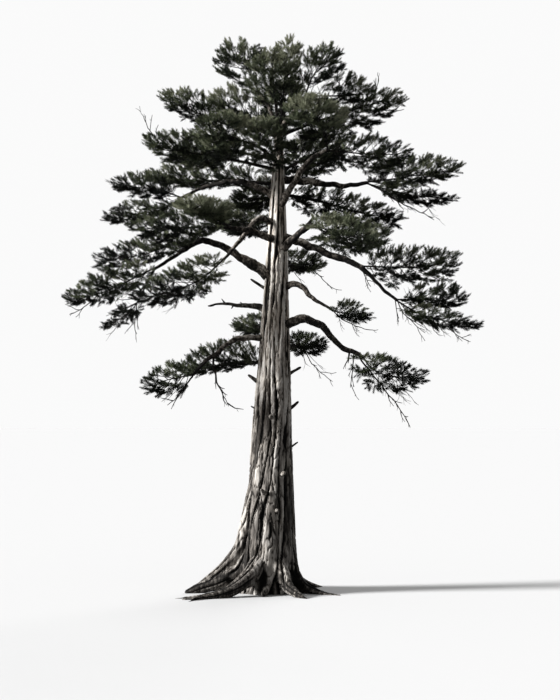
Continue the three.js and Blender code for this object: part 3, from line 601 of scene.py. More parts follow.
def bark_at(points):
    """The bark's height and tone at points of the trunk and its roots."""
    places, across, over, runs = root_frames()
    found = np.empty((len(points), 2))
    for i, point in enumerate(points):
        centre = trunk_centre(point.z)
        dx, dy = point.x - centre.x, point.y - centre.y
        beyond = math.hypot(dx, dy) - trunk_radius(max(point.z, 0), 0)
        turn = math.atan2(dy, dx) - FLUTE_TWIST * point.z
        height, own = ridges(turn, point.z, RIDGES_ROUND, 0)
        upper = smooth_step(*UPPER_RIDGES_FROM, point.z)
        if upper > 0:
            fewer = ridges(turn, point.z, UPPER_RIDGES, 40)
            height += (fewer[0] - height) * upper
            own += (fewer[1] - own) * upper
        share = smooth_step(*ROOT_RIDGES_FROM, beyond)
        if share > 0:
            offset = np.array(point[:]) - places
            near = int((offset**2).sum(axis=1).argmin())
            around = math.atan2(offset[near] @ over[near], offset[near] @ across[near])
            outer = ridges(around, runs[near], ROOT_RIDGES, 20)
            # The roots' ridges are lowered and darkened by ROOT_SHADE, as painted shade.
            height += (outer[0] * (1 - ROOT_SHADE) - height) * share
            own += (outer[1] - own) * share
        found[i] = height, own
    return found


def trunk_piece():
    """The trunk with its roots, the bark's ridges raised on it, and a flat cut at the ground."""
    bm = bmesh.new()
    whole = FORK_HEIGHT + BELOW_GROUND
    heights = [whole * i / TRUNK_RINGS - BELOW_GROUND for i in range(TRUNK_RINGS + 1)]
    path = [Vector((trunk_centre(z).x, 0, z)) for z in heights]
    girth_at = lambda t, angle: trunk_radius(heights[round(t * TRUNK_RINGS)], angle)
    add_tube(bm, path, girth_at, TRUNK_SIDES)
    for index, root in enumerate(ROOTS):
        add_tube(bm, root_path(root, index), knobbly_root(root["thick"], index * 3.1), ROOT_SIDES)
    for fork in ROOT_FORKS:
        path = walk(fork["start"], fork["bearing"], fork["climb"], fork["length"], ROOT_FORK_STEPS)
        add_tube(bm, path, knobbly_root(fork["thick"], 9.3), ROOT_SIDES)
    skin = joined_skin(bm)
    bm = bmesh.new()
    bm.from_mesh(skin)
    foot = [v for v in bm.verts if v.co.z < FLARE_TOP]
    axes = dict(use_axis_x=True, use_axis_y=True, use_axis_z=True)
    for _ in range(FLARE_SMOOTHING):
        bmesh.ops.smooth_vert(bm, verts=foot, factor=0.5, **axes)
    bm.normal_update()
    plate_and_painted_shading, upper = (bm.verts.layers.float.new(name) for name in ("plate_and_painted_shading", "upper"))
    for vert, (height, own) in zip(bm.verts, bark_at([v.co.copy() for v in bm.verts])):
        girth = trunk_radius(max(vert.co.z, 0), 0)
        far = math.hypot(vert.co.x - trunk_centre(vert.co.z).x, vert.co.y) - girth
        flatter = 1 if far < FLAT_ROOT_FROM else max(FLAT_ROOT_SHARE, 1 - (far - FLAT_ROOT_FROM))
        depth = FURROW_DEPTH * min(girth / FULL_FURROW_GIRTH, 1) * flatter
        vert[plate_and_painted_shading] = height * (0.92 + 0.6 * own)
        # Warmer and paler upwards, partly as painted light under the crown.
        vert[upper] = smooth_step(*WARM_AND_LIT_BARK_FROM, vert.co.z)
        vert.co += vert.normal * (depth * (height * (0.9 + 0.35 * own) - FURROW_FLOOR))
    flat_foot(bm)
    return piece_of(bm, "trunk_bark")


def flat_foot(bm):
    """Cuts everything below the ground away and closes the cut."""
    everything = [*bm.verts, *bm.edges, *bm.faces]
    ground = dict(plane_co=(0, 0, 0), plane_no=(0, 0, 1))
    bmesh.ops.bisect_plane(bm, geom=everything, clear_inner=True, **ground)
    rim = [e for e in bm.edges if e.is_boundary]
    made = bmesh.ops.edgeloop_fill(bm, edges=rim)
    bmesh.ops.triangulate(bm, faces=made["faces"])


BOUGH_SIDES = 18
BOUGH_RINGS_PER_METRE = 36
BOUGH_RIDGES = 7
BOUGH_SWAY = 0.03
BOUGH_OVERLAP = 0.03
BOUGH_TIP_SHARE = 0.72
COLLAR = 0.35
SNAG_STEPS = 8
STUB_STEPS = 16
STUB_SIDES = 12


def limb_relief(seed, thick, length):
    """A bough's radius: its taper, a collar where it leaves the trunk, knots and ridged, scaly bark."""

    def radius(t, angle):
        run = t * length
        base = along((thick[0], thick[1] * BOUGH_TIP_SHARE), t)
        collar = 1 + COLLAR * math.exp(-4 * run)
        around = Vector((math.cos(angle), math.sin(angle), 0))
        knots = noise.noise(around * 0.9 + Vector((seed, seed * 0.3, run * 3.2)))
        scales = noise.noise(around * 2.6 + Vector((seed, 4, run * 13)))
        ridge = ridges(angle, run * 1.6, BOUGH_RIDGES, seed)[0]
        return base * (collar + 0.3 * knots + 0.16 * scales + 0.16 * (ridge - 0.5))

    return radius


def crooked(path, seed):
    """The path with small bends of its own between its two ends."""
    bent_path = []
    for i, point in enumerate(path):
        most = BOUGH_SWAY * math.sin(math.pi * i / (len(path) - 1))
        bent_path.append(point + noise.noise_vector(Vector((i * 0.13, seed, 0))) * most)
    return bent_path


def bough_piece(bough, index):
    bm = bmesh.new()
    rings = round(bough["length"] * BOUGH_RINGS_PER_METRE)
    path = crooked(rounded(bough["path"], rings), index * 3.3)
    if bough["on_bough"]:
        path[0] = path[0] - direction_at(path, 0) * BOUGH_OVERLAP
    add_tube(bm, path, limb_relief(index * 7.3, bough["thick"], bough["length"]), BOUGH_SIDES)
    if bough["name"] == SNAG["on"]:
        start = point_at(bough["path"], SNAG["share"])
        path = walk(start, [SNAG["bearing"]], [SNAG["climb"]], SNAG["length"], SNAG_STEPS)
        add_tube(bm, path, limb_relief(5.5, [SNAG["thick"]] * 2, SNAG["length"]), BOUGH_SIDES)
    plate_and_painted_shading = bm.verts.layers.float.new("plate_and_painted_shading")
    foot = trunk_centre(bough["path"][0].z)
    bm.normal_update()
    for vert in bm.verts:
        away = (vert.co - foot).length
        patch = noise.noise(vert.co * 2.2 + Vector((index, 0, 0)))
        # Bark tone: random patches, darker away from the trunk, and paler where the bark faces up, as
        # painted light on the bough's upper side.
        vert[plate_and_painted_shading] = 0.5 - 0.3 * smooth_step(0.4, 2.6, away) + 0.45 * patch + 0.22 * vert.normal.z
    return piece_of(bm, "bark_of_" + bough["name"])


def stub_piece(name, kept):
    """Some of the broken stubs, each ragged at its end."""
    bm = bmesh.new()
    for index in kept:
        stub = STUBS[index]
        start = trunk_centre(stub["at"])
        straight = FORK_RADIUS + (FORK_HEIGHT - stub["at"]) * TAPER
        tilt = math.radians(stub["climb"])
        length = straight / math.cos(tilt) + stub["length"]
        start.z -= straight * math.tan(tilt)
        path = walk(start, [stub["bearing"]], [stub["climb"]], length, STUB_STEPS)
        add_tube(bm, path, stub_relief(stub["thick"], index), STUB_SIDES)
    return piece_of(bm, name)


def stub_relief(thick, seed):
    """A stub's radius: it tapers, and its last ring is drawn in as a broken end."""

    def radius(t, angle):
        ragged = noise.noise(Vector((math.cos(angle) * 1.4, math.sin(angle) * 1.4, seed + t * 7)))
        end = 1 if t < 0.97 else 0.6
        return thick * (1.4 - 0.75 * t) * end * (1 + 0.2 * ragged)

    return radius


# The tips of the long dead twigs, of their forks and of the spurs on these.
DEAD_TWIG_TIP = 0.009
DEAD_FORK_SHARE = 0.6
DEAD_FORK_TIP = 0.007
DEAD_SPUR_THICK = (0.007, 0.005)
# Long dead twigs that show against the sky: the limb each leaves, near which place across and up.
DEAD_TWIGS = rows_of(
    "limb near bearing climb length thick forks",
    ("bough_right_1", (2.32, 6.2), (338, 346, 340), (-60, -46, -62), 2.35, 0.026, 9),
    ("bough_right_1", (2.25, 6.3), (200, 250), (-76, -84), 0.95, 0.019, 4),
    ("bough_left_1", (-1.39, 6.25), (330, 350), (-84, -56), 1.45, 0.034, 6),
    ("bough_left_1", (-2.1, 5.7), (226, 204), (-50, -38), 1.15, 0.026, 4),
    ("foliage_left_3_lower", (-3.42, 7.6), (350, 10), (-84, -70), 0.85, 0.015, 3),
    ("foliage_back_right_1", (0.95, 6.7), (330, 350), (-62, -30), 1.35, 0.016, 4),
    ("bough_right_2", (2.0, 7.4), (330, 345), (-48, -14), 1.2, 0.018, 4),
    ("foliage_back_right_4", (1.15, 8.9), (330, 346), (-48, -40), 1.0, 0.016, 4),
    ("bough_right_4_inner", (2.6, 8.5), (300, 330), (-66, -50), 0.6, 0.015, 4),
    ("bough_right_4_outer", (3.3, 7.7), (280, 300), (-74, -60), 0.6, 0.015, 3),
    ("bough_right_4_outer", (3.9, 7.2), (310, 330), (-60, -30), 1.3, 0.016, 5),
    ("foliage_right_4_tip", (4.6, 7.0), (330, 350), (-50, -26), 0.9, 0.015, 4),
    ("bough_right_7", (2.7, 10.9), (350, 358), (-34, -22), 2.1, 0.027, 6),
    ("foliage_right_8", (2.75, 13.3), (300, 320), (66, 80), 0.75, 0.016, 3),
    ("foliage_right_8", (2.9, 12.8), (320, 340), (-30, 0), 1.1, 0.016, 4),
    ("foliage_top_right_side", (1.9, 13.6), (340, 0), (50, 72), 0.75, 0.016, 3),
    ("foliage_left_7_outer", (-2.9, 12.0), (190, 170), (50, 70), 0.95, 0.015, 4),
    ("foliage_left_3_tip", (-4.4, 7.8), (210, 190), (-50, -20), 1.0, 0.016, 4),
    ("bough_left_3_outer", (-3.3, 8.5), (220, 210), (-60, -40), 1.1, 0.019, 5),
    ("bough_left_2_dead", (-1.16, 7.7), (176, 160), (66, 48), 0.17, 0.032, 0),
    ("bough_left_2_dead", (-0.93, 7.6), (200, 190), (-70, -40), 0.13, 0.036, 0),
    ("bough_left_2_dead", (-0.62, 7.6), (190, 176), (58, 30), 0.15, 0.028, 0),
    ("bough_left_2_dead", (-1.42, 7.7), (214, 200), (-36, 6), 0.2, 0.024, 0),
    ("bough_right_1", (2.14, 6.3), (200, 210), (-84, -74), 0.34, 0.034, 1),
    ("foliage_left_3_lower", (-3.9, 7.9), (196, 186), (-34, -14), 0.65, 0.014, 3),
)


class Growth:
    """What has grown so far: twigs with their thickness and number of sides, and needle shoots."""

    def __init__(self):
        self.wood = []
        self.roots = []
        self.axes = []
        self.owners = []
        self.sizes = []

    def branch(self, path, thick, sides):
        self.wood.append((path, thick, sides))

    def shoot(self, owner, root, axis, size=1.0):
        self.roots.append(root[:])
        self.axes.append(axis.normalized()[:])
        self.owners.append(owner)
        self.sizes.append(size)

    def fan(self, owner, root, axis, across, draw):
        """The shoots at a twig's end: one ahead and one to each side."""
        self.shoot(owner, root, axis + UP * draw(0, 0.3), LEADING_SHOOT)
        for hand in (-1, 1):
            turned = axis + across * (hand * SIDE_SHOOT_TURN * draw(0.7, 1.3))
            self.shoot(owner, root - axis * draw(0, 0.05), turned + UP * draw(-0.1, 0.45))


def bent(root, direction, length, rise, steps):
    """A twig's path: it sets off along a direction and rises towards its tip."""
    path = [root]
    for i in range(steps):
        step = (direction + UP * (rise * (i + 0.5) / steps)).normalized()
        path.append(path[-1] + step * (length / steps))
    return path


def inside_space(mass, root, direction, length):
    """The longest try of a twig's length whose last needles stay in the space, or none."""
    tips = [root + direction * (length * share + SHOOT_LENGTH) for share in TWIG_TRIES]
    fits = depths_in(mass, np.array(tips)) < EDGE_SHARE
    return length * TWIG_TRIES[int(np.argmax(fits))] if fits.any() else None


def grow_side_twigs(growth, owner, mass, path, length, across, draw):
    count = max(1, round(length * (1 - SIDE_TWIG_START) / SIDE_TWIG_SPACING))
    for i in range(count):
        share = SIDE_TWIG_START + (1 - SIDE_TWIG_START) * (i + draw(0.2, 0.8)) / count
        root = point_at(path, share)
        ahead = direction_at(path, min(share, 0.99))
        hand = 1 if i % 2 else -1
        turned = (ahead + across * (hand * draw(0.6, 1.3)) + UP * draw(-0.3, 0.7)).normalized()
        size = (SIDE_TWIG_LONGEST + (SIDE_TWIG_SHORTEST - SIDE_TWIG_LONGEST) * share) * draw(0.75, 1.2)
        size = inside_space(mass, root, turned, size)
        if size is None:
            growth.shoot(owner, root, turned)
            continue
        side_path = bent(root, turned, size, TWIG_RISE, 2)
        growth.branch(side_path, SIDE_TWIG_THICK, 3)
        tip = direction_at(side_path, 0.99)
        growth.fan(owner, side_path[2], tip, turned.cross(tip.cross(across)).normalized(), draw)
        lean = across * (hand * draw(-0.8, 0.8))
        growth.shoot(owner, side_path[1], tip + lean + UP * draw(-0.2, 0.6))
    growth.fan(owner, path[-1], direction_at(path, 0.99), across, draw)


def grow_twig(growth, owner, mass, t, share, around, draw):
    """One twig off the stem, where it is along it and on its bearing round it."""
    ahead, side, over = frame_at(mass, t)
    reach = reach_at(mass, around) * swell(share) * draw(0.86, 1.04)
    widest = math.sin(math.radians(along(TWIG_SPREAD, share)))
    length = max(reach / widest, SHORTEST_TWIG)
    spread = math.asin(min(reach / length, 1))
    outward = side * math.cos(around) + over * math.sin(around)
    direction = ahead * math.cos(spread) + outward * math.sin(spread)
    root = point_at(mass["path"], t)
    length = inside_space(mass, root, direction, length - SHOOT_LENGTH)
    if length is None:
        return
    path = bent(root, direction, length, TWIG_RISE * 0.5, 4)
    growth.branch(path, TWIG_THICK, 4)
    across = (direction.cross(UP) if abs(direction.z) < 0.93 else ahead.cross(direction)).normalized()
    grow_side_twigs(growth, owner, mass, path, length, across, draw)


def grow_mass(growth, mass, index):
    """A mass's stem, the twigs round it in a spiral, its leading twig and its dead ones."""
    draw = random_from(GROWTH_SEED + index)
    stem = rounded(mass["path"], 14)
    foot = STEM_RADIUS if mass["on_bough"] else STEM_AT_TRUNK
    growth.branch(stem, (foot * STEM_FLARE, STEM_TIP_THICK[0]), 6)
    count = round(mass["length"] * (1 - mass["first"]) / TWIG_SPACING)
    start = draw(0, 360)
    for i in range(count):
        share = (i + 0.5) / count
        t = mass["first"] + (1 - mass["first"]) * share
        around = math.radians(start + i * SPIRAL)
        grow_twig(growth, index, mass, t, share, around, draw)
    tip = bent(stem[-1], direction_at(stem, 1), STEM_TIP, TWIG_RISE, 4)
    growth.branch(tip, STEM_TIP_THICK, 4)
    across = direction_at(stem, 1).cross(UP).normalized()
    grow_side_twigs(growth, index, mass, tip, STEM_TIP, across, draw)
    for _ in range(mass.get("bare", 0)):
        bare_twig(growth, mass, draw)


def bare_twig(growth, mass, draw):
    """A dead twig that hangs under the stem, with four short forks."""
    t = mass["first"] + (1 - mass["first"]) * draw(0, 0.75)
    bearing = along(mass["bearing"], t) + draw(-50, 50)
    length = draw(0.6, 1.1)
    path = walk(point_at(mass["path"], t), [bearing], (-30, -62, -50, -20), length, 7, draw, 16)
    growth.branch(path, BARE_TWIG_THICK, 5)
    for _ in range(4):
        root = point_at(path, draw(0.3, 0.9))
        turned = [bearing + draw(-60, 60)]
        fork = walk(root, turned, (-50, -20), draw(0.15, 0.4), 3, draw, 18)
        growth.branch(fork, SIDE_TWIG_THICK, 3)


def dead_twig(growth, twig, limbs, seed):
    """A dead twig with short forks, from the point of its limb nearest to its place in the view."""
    draw = random_from(seed)
    across, height = twig["near"]
    places = [point_at(limbs[twig["limb"]]["path"], i / 40) for i in range(41)]
    start = min(places, key=lambda p: (p.x - across) ** 2 + (p.z - height) ** 2)
    path = walk(start, twig["bearing"], twig["climb"], twig["length"], 14, draw, 13)
    growth.branch(path, (twig["thick"], DEAD_TWIG_TIP), 5)
    for k in range(twig["forks"]):
        share = 0.25 + 0.7 * (k + draw(0, 1)) / twig["forks"]
        bearing = along(twig["bearing"], share) + draw(-75, 75)
        climb = along(twig["climb"], share) + draw(-30, 50)
        root, turns, climbs = point_at(path, share), (bearing, bearing + 20), (climb, climb + 15)
        fork = walk(root, turns, climbs, draw(0.14, 0.5), 4, draw, 18)
        growth.branch(fork, (twig["thick"] * DEAD_FORK_SHARE, DEAD_FORK_TIP), 4)
        root = point_at(fork, 0.6)
        spur = walk(root, [bearing - 40], [climb - 20], draw(0.06, 0.18), 2, draw, 15)
        growth.branch(spur, DEAD_SPUR_THICK, 3)


def kept_shoots(growth):
    """The shoots that keep to their own mass's space, clear of the limbs and inside the box."""
    roots, axes = np.array(growth.roots), np.array(growth.axes)
    owners, sizes = np.array(growth.owners), np.array(growth.sizes)
    tips = roots + axes * (SHOOT_LENGTH * sizes + NEEDLE_LENGTH[0])[:, None]
    own = np.empty(len(tips))
    nearest = np.full(len(tips), np.inf)
    for index, mass in enumerate(MASSES):
        depth = depths_in(mass, tips)
        mine = owners == index
        own[mine] = depth[mine]
        nearest[~mine] = np.minimum(nearest[~mine], depth[~mine])
    keep = (own < EDGE_SHARE) & (own <= nearest)
    shares = [i / LIMB_CHECKS for i in range(LIMB_CHECKS + 1)]
    limbs = [(point_at(b["path"], t), along(b["thick"], t)) for b in BOUGHS for t in shares]
    heights = np.arange(TRUNK_CHECK_FROM, FORK_HEIGHT, TRUNK_CHECK_STEP)
    limbs += [(trunk_centre(z), trunk_radius(z, 0)) for z in heights]
    for place, radius in limbs:
        keep &= np.linalg.norm(roots - np.array(place), axis=1) > radius + LIMB_DISTANCE * 0.5
        keep &= np.linalg.norm(tips - np.array(place), axis=1) > radius + LIMB_DISTANCE
    low, high = np.array(cad_box[0]), np.array(cad_box[1])
    keep &= np.all((tips > low - BELOW_BOX) & (tips < high - WITHIN_BOX), axis=1)
    return roots[keep], axes[keep], owners[keep], sizes[keep]


def triangles_piece(name, corners, faces, smooth):
    """A piece from arrays of corners and triangles, for the many small twigs and needles."""
    mesh = bpy.data.meshes.new(name)
    mesh.vertices.add(len(corners))
    mesh.vertices.foreach_set("co", np.ascontiguousarray(corners, np.float32).ravel())
    mesh.loops.add(faces.size)
    mesh.loops.foreach_set("vertex_index", np.ascontiguousarray(faces, np.int32).ravel())
    mesh.polygons.add(len(faces))
    mesh.polygons.foreach_set("loop_start", np.arange(0, faces.size, 3, dtype=np.int32))
    mesh.polygons.foreach_set("use_smooth", np.full(len(faces), smooth))
    mesh.update(calc_edges=True)
    return object_of(mesh, name)


def tube_arrays(path, thick, sides):
    """Corners and triangles of one closed twig."""
    points = np.array([p[:] for p in path])
    rings = len(points)
    ahead = np.gradient(points, axis=0)
    ahead /= np.linalg.norm(ahead, axis=1)[:, None]
    side = np.cross(ahead, (0.0, 0.0, 1.0) if abs(ahead[0][2]) < 0.9 else (1.0, 0.0, 0.0))
    side /= np.maximum(np.linalg.norm(side, axis=1), 1e-6)[:, None]
    over = np.cross(side, ahead)
    radius = np.linspace(thick[0], thick[1], rings)[:, None, None]
    angle = np.arange(sides) * 2 * np.pi / sides
    ring = side[:, None] * np.cos(angle)[None, :, None] + over[:, None] * np.sin(angle)[None, :, None]
    corners = (points[:, None] + ring * radius).reshape(-1, 3)
    faces = []
    for k in range(rings - 1):
        for j in range(sides):
            a, b = k * sides + j, k * sides + (j + 1) % sides
            faces += [(a, a + sides, b), (b, a + sides, b + sides)]
    last = (rings - 1) * sides
    for j in range(1, sides - 1):
        faces += [(0, j, j + 1), (last, last + j + 1, last + j)]
    return corners, np.array(faces)


def twig_pieces(growth):
    """All twigs, joined into pieces of not too many triangles."""
    tubes = [tube_arrays(*branch) for branch in growth.wood]
    numbers = np.cumsum([len(faces) for _, faces in tubes]) // TRIANGLES_PER_PIECE
    pieces = []
    for number in range(numbers[-1] + 1):
        some = [tube for tube, own in zip(tubes, numbers) if own == number]
        firsts = np.cumsum([0, *(len(corners) for corners, _ in some)])
        corners = np.concatenate([corners for corners, _ in some])
        faces = np.concatenate([faces + first for (_, faces), first in zip(some, firsts)])
        pieces.append(triangles_piece(f"twigs_{number + 1}", corners, faces, True))
    return pieces


def needle_corners(roots, axes, lengths, random):
    """The four corners of every needle of every shoot: its foot, left side, tip and right side."""
    count = len(roots)
    share = (np.arange(NEEDLES_PER_SHOOT) + 0.5) / NEEDLES_PER_SHOOT
    helper = np.where(np.abs(axes[:, 2:3]) < 0.9, (0.0, 0.0, 1.0), (1.0, 0.0, 0.0))
    side = np.cross(axes, helper)
    side /= np.linalg.norm(side, axis=1)[:, None]
    over = np.cross(side, axes)
    turn = share[None] * NEEDLES_PER_SHOOT * NEEDLE_SPIRAL + random.uniform(0, FULL_TURN, (count, 1))
    turn = turn + random.uniform(-0.3, 0.3, (count, NEEDLES_PER_SHOOT))
    spread = random.uniform(-9, 9, (count, NEEDLES_PER_SHOOT))
    opened = NEEDLE_OPEN[0] + (NEEDLE_OPEN[1] - NEEDLE_OPEN[0]) * share[None] + spread
    opened = np.radians(opened)[..., None]
    length = random.uniform(*NEEDLE_LENGTH, (count, NEEDLES_PER_SHOOT))
    outward = side[:, None] * np.cos(turn)[..., None] + over[:, None] * np.sin(turn)[..., None]
    along_needle = axes[:, None] * np.cos(opened) + outward * np.sin(opened)
    sizes = random.uniform(0.8, 1.15, (count, 1, 1)) * SHOOT_LENGTH * lengths[:, None, None]
    foot = roots[:, None] + axes[:, None] * share[None, :, None] * sizes
    flat = np.cross(along_needle, outward)
    flat /= np.linalg.norm(flat, axis=2)[..., None]
    normal = np.cross(flat, along_needle)
    middle = foot + along_needle * (length * NEEDLE_WIDEST)[..., None]
    left = middle + flat * (NEEDLE_WIDTH / 2) + normal * (NEEDLE_WIDTH * NEEDLE_KEEL)
    right = middle - flat * (NEEDLE_WIDTH / 2) + normal * (NEEDLE_WIDTH * NEEDLE_KEEL)
    tip = foot + along_needle * length[..., None]
    return np.stack([foot, left, tip, right], axis=2).reshape(-1, 3)


# Tones of needles, from painted shade on the inner and lower shoots, through middle tones, to painted
# light on the lit tops of the pads.
NEEDLE_TONES = (
    ("deep", (0.0048, 0.0063, 0.004)),
    ("shade", (0.0135, 0.0173, 0.0105)),
    ("plain", (0.0335, 0.041, 0.0235)),
    ("half_lit", (0.069, 0.081, 0.047)),
    ("light", (0.124, 0.139, 0.086)),
    ("pale", (0.21, 0.22, 0.15)),
)
# How much paler a mass's needles are painted, as painted light on the front pads that face the light; a
# few at the top of the crown are darker, and masses not listed take the usual shift below.
PAINTED_LIGHT_OF_MASS = dict(left_7_front=0.22, front_7=0.24, right_6_upper=0.26, left_4_front=0.26,
             right_3_front=0.2, top_front=-0.04, top_centre=-0.08, left_3_tip=0.04,
             right_7_outer=0.02)
USUAL_PAINTED_LIGHT = -0.05
TONE_MIDDLE = 0.36
TONE_SPREAD = 0.11


def tone_of(roots, axes, owners, random):
    """Deals each shoot a tone: lighter on top of its mass and on upward shoots as painted light, darker
    lower down as painted shade, shifted by each mass's painted bias, and lighter where random patches
    of the crown are pale.
    """
    value = np.empty(len(roots))
    for index, mass in enumerate(MASSES):
        mine = owners == index
        middle = np.array(point_at(mass["path"], 0.5))
        # The top of each mass is painted lighter and its lower part darker, as painted light and
        # painted shade.
        height = (roots[mine, 2] - middle[2]) / (mass["rise"] + mass["drop"])
        value[mine] = height + PAINTED_LIGHT_OF_MASS.get(mass["name"], USUAL_PAINTED_LIGHT)
    patch = np.array([noise.noise(Vector(p) * 1.3) for p in roots])
    # Shoots that point upwards are painted lighter, as painted light.
    value = TONE_MIDDLE + value * 0.85 + patch * 0.6 + axes[:, 2] * 0.1
    value += random.normal(0, TONE_SPREAD, len(roots))
    return np.clip((value * len(NEEDLE_TONES)).astype(int), 0, len(NEEDLE_TONES) - 1)


def needle_pieces(growth):
    """The needles of all shoots that are kept, one tone to a piece, with each piece's material."""
    random = np.random.default_rng(NEEDLE_SEED)
    roots, axes, owners, sizes = kept_shoots(growth)
    tones = tone_of(roots, axes, owners, random)
    most = TRIANGLES_PER_PIECE // (NEEDLES_PER_SHOOT * 2)
    pieces = []
    for tone, (word, colour) in enumerate(NEEDLE_TONES):
        material = needle_material(word, colour)
        chosen = np.flatnonzero(tones == tone)
        for part, start in enumerate(range(0, len(chosen), most)):
            some = chosen[start : start + most]
            corners = needle_corners(roots[some], axes[some], sizes[some], random)
            first = np.arange(0, len(corners), 4)[:, None]
            faces = np.concatenate([first + (0, 1, 2), first + (0, 2, 3)], axis=1).reshape(-1, 3)
            piece = triangles_piece(f"needles_{word}_{part + 1}", corners, faces, False)
            pieces.append((piece, material))
    return pieces


# Materials.
def new_material(name):
    material = bpy.data.materials.new(name)
    material.use_nodes = True
    tree = material.node_tree
    return material, tree, tree.nodes["Principled BSDF"]


def ramp_of(tree, stops):
    """A ramp node with a colour at each of its stops."""
    ramp = tree.nodes.new("ShaderNodeValToRGB")
    elements = ramp.color_ramp.elements
    while len(elements) < len(stops):
        elements.new(0.5)
    for element, (place, colour) in zip(elements, stops):
        element.position = place
        element.color = (*colour, 1)
    return ramp


# Bark from its furrows to its weathered plates: grey below, thinner, warmer and paler above, the
# paleness partly painted light that lifts the trunk where the crown shades it.
LOWER_BARK = (
    (0.0, (0.003, 0.0028, 0.0026)),
    (0.36, (0.0085, 0.0078, 0.007)),
    (0.56, (0.05, 0.0445, 0.0395)),
    (0.74, (0.23, 0.211, 0.191)),
    (1.0, (0.66, 0.63, 0.59)),
)
UPPER_BARK = (
    (0.0, (0.004, 0.0034, 0.0029)),
    (0.3, (0.014, 0.0115, 0.0094)),
    (0.48, (0.15, 0.126, 0.104)),
    (0.63, (0.58, 0.52, 0.455)),
    (0.85, (0.87, 0.83, 0.77)),
)
# Broad blotches that weather the bark, and how far they tint it.
BLOTCHES = ((0.3, (0.5, 0.5, 0.52)), (0.7, (1, 0.97, 0.92)))
BLOTCH_TINT = 0.55
BARK_ROUGHNESS = 0.93


def bark_group():
    """Streaked, flaking bark: its colour from a furrow mask, and its fine relief."""
    group = bpy.data.node_groups.new("streaked_bark", "ShaderNodeTree")
    for name in ("Plate", "Upper", "Stretch"):
        group.interface.new_socket(name, in_out="INPUT", socket_type="NodeSocketFloat")
    group.interface.new_socket("Color", in_out="OUTPUT", socket_type="NodeSocketColor")
    group.interface.new_socket("Height", in_out="OUTPUT", socket_type="NodeSocketFloat")

    def filled(node, inputs):
        """The node's outputs, once each of its inputs is linked or has its value."""
        for key, value in inputs.items():
            if isinstance(value, bpy.types.NodeSocket):
                group.links.new(value, node.inputs[key])
            else:
                node.inputs[key].default_value = value
        return node.outputs

    def math_of(operation, *values):
        node = group.nodes.new("ShaderNodeMath")
        node.operation = operation
        return filled(node, dict(enumerate(values)))[0]

    def noise_of(vector, **settings):
        node = group.nodes.new("ShaderNodeTexNoise")
        return filled(node, {"Vector": vector, **settings})["Fac"]

    def mixed(blend, factor, below, above):
        node = group.nodes.new("ShaderNodeMix")
        node.data_type = "RGBA"
        node.blend_type = blend
        return filled(node, {"Factor": factor, "A": below, "B": above})["Result"]

    def coloured(stops, value):
        return filled(ramp_of(group, stops), {0: value})["Color"]

    given = group.nodes.new("NodeGroupInput").outputs
    place = group.nodes.new("ShaderNodeTexCoord").outputs["Object"]
    split = filled(group.nodes.new("ShaderNodeSeparateXYZ"), {0: place})
    squeezed = math_of("MULTIPLY", split["Z"], given["Stretch"])
    sides = {"X": split["X"], "Y": split["Y"], "Z": squeezed}
    drawn_out = filled(group.nodes.new("ShaderNodeCombineXYZ"), sides)[0]
    streaks = noise_of(drawn_out, Scale=13, Detail=6, Roughness=0.66)
    grain = math_of("MULTIPLY_ADD", streaks, 1.5, -0.67)
    shade = math_of("MULTIPLY_ADD", given["Plate"], 0.72, grain)
    lower, upper = coloured(LOWER_BARK, shade), coloured(UPPER_BARK, shade)
    bark = mixed("MIX", given["Upper"], lower, upper)
    blotches = coloured(BLOTCHES, noise_of(place, Scale=1.7, Detail=3))
    weathered = mixed("MULTIPLY", BLOTCH_TINT, bark, blotches)
    filled(group.nodes.new("NodeGroupOutput"), {"Color": weathered, "Height": shade})
    return group


def bark_material(name, group, plate_and_painted_shading, upper, stretch, depth):
    """plate and upper are numbers, or the name of the attribute that holds them."""
    material, tree, surface = new_material(name)
    bark = tree.nodes.new("ShaderNodeGroup")
    bark.node_tree = group
    for socket, value in (("Plate", plate_and_painted_shading), ("Upper", upper), ("Stretch", stretch)):
        if isinstance(value, str):
            attribute = tree.nodes.new("ShaderNodeAttribute")
            attribute.attribute_name = value
            tree.links.new(attribute.outputs["Fac"], bark.inputs[socket])
        else:
            bark.inputs[socket].default_value = value
    bump = tree.nodes.new("ShaderNodeBump")
    bump.inputs["Strength"].default_value = 0.9
    bump.inputs["Distance"].default_value = depth
    tree.links.new(bark.outputs["Color"], surface.inputs["Base Color"])
    tree.links.new(bark.outputs["Height"], bump.inputs["Height"])
    tree.links.new(bump.outputs["Normal"], surface.inputs["Normal"])
    surface.inputs["Roughness"].default_value = BARK_ROUGHNESS
    surface.inputs["Specular IOR Level"].default_value = 0.25
    return material


def needle_material(word, colour):
    material, tree, surface = new_material("needles_" + word)
    surface.inputs["Base Color"].default_value = (*colour, 1)
    surface.inputs["Roughness"].default_value = 0.62
    surface.inputs["Specular IOR Level"].default_value = 0.14
    return material


def finish(piece, material, slot, *nodes):
    piece.data.materials.clear()
    piece.data.materials.append(material)
    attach(piece, "root")
    if nodes:
        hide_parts(*nodes)


# The camera, the light and the floor.
def aim(thing, target):
    thing.rotation_euler = (Vector(target) - thing.location).to_track_quat("-Z", "Y").to_euler()


camera = bpy.data.objects.new("camera", bpy.data.cameras.new("camera"))
bpy.context.scene.collection.objects.link(camera)
camera.location = CAMERA_PLACE
camera.data.lens = CAMERA_LENS
camera.data.clip_end = CAMERA_REACH
aim(camera, CAMERA_TARGET)
bpy.context.scene.camera = camera


def add_light(name, place, strength, softness):
    """A soft light of parallel rays from a place towards the tree."""
    light = bpy.data.objects.new(name, bpy.data.lights.new(name, "SUN"))
    bpy.context.scene.collection.objects.link(light)
    light.data.energy = strength
    light.data.angle = math.radians(softness)
    light.location = place
    aim(light, LIT_MIDDLE)


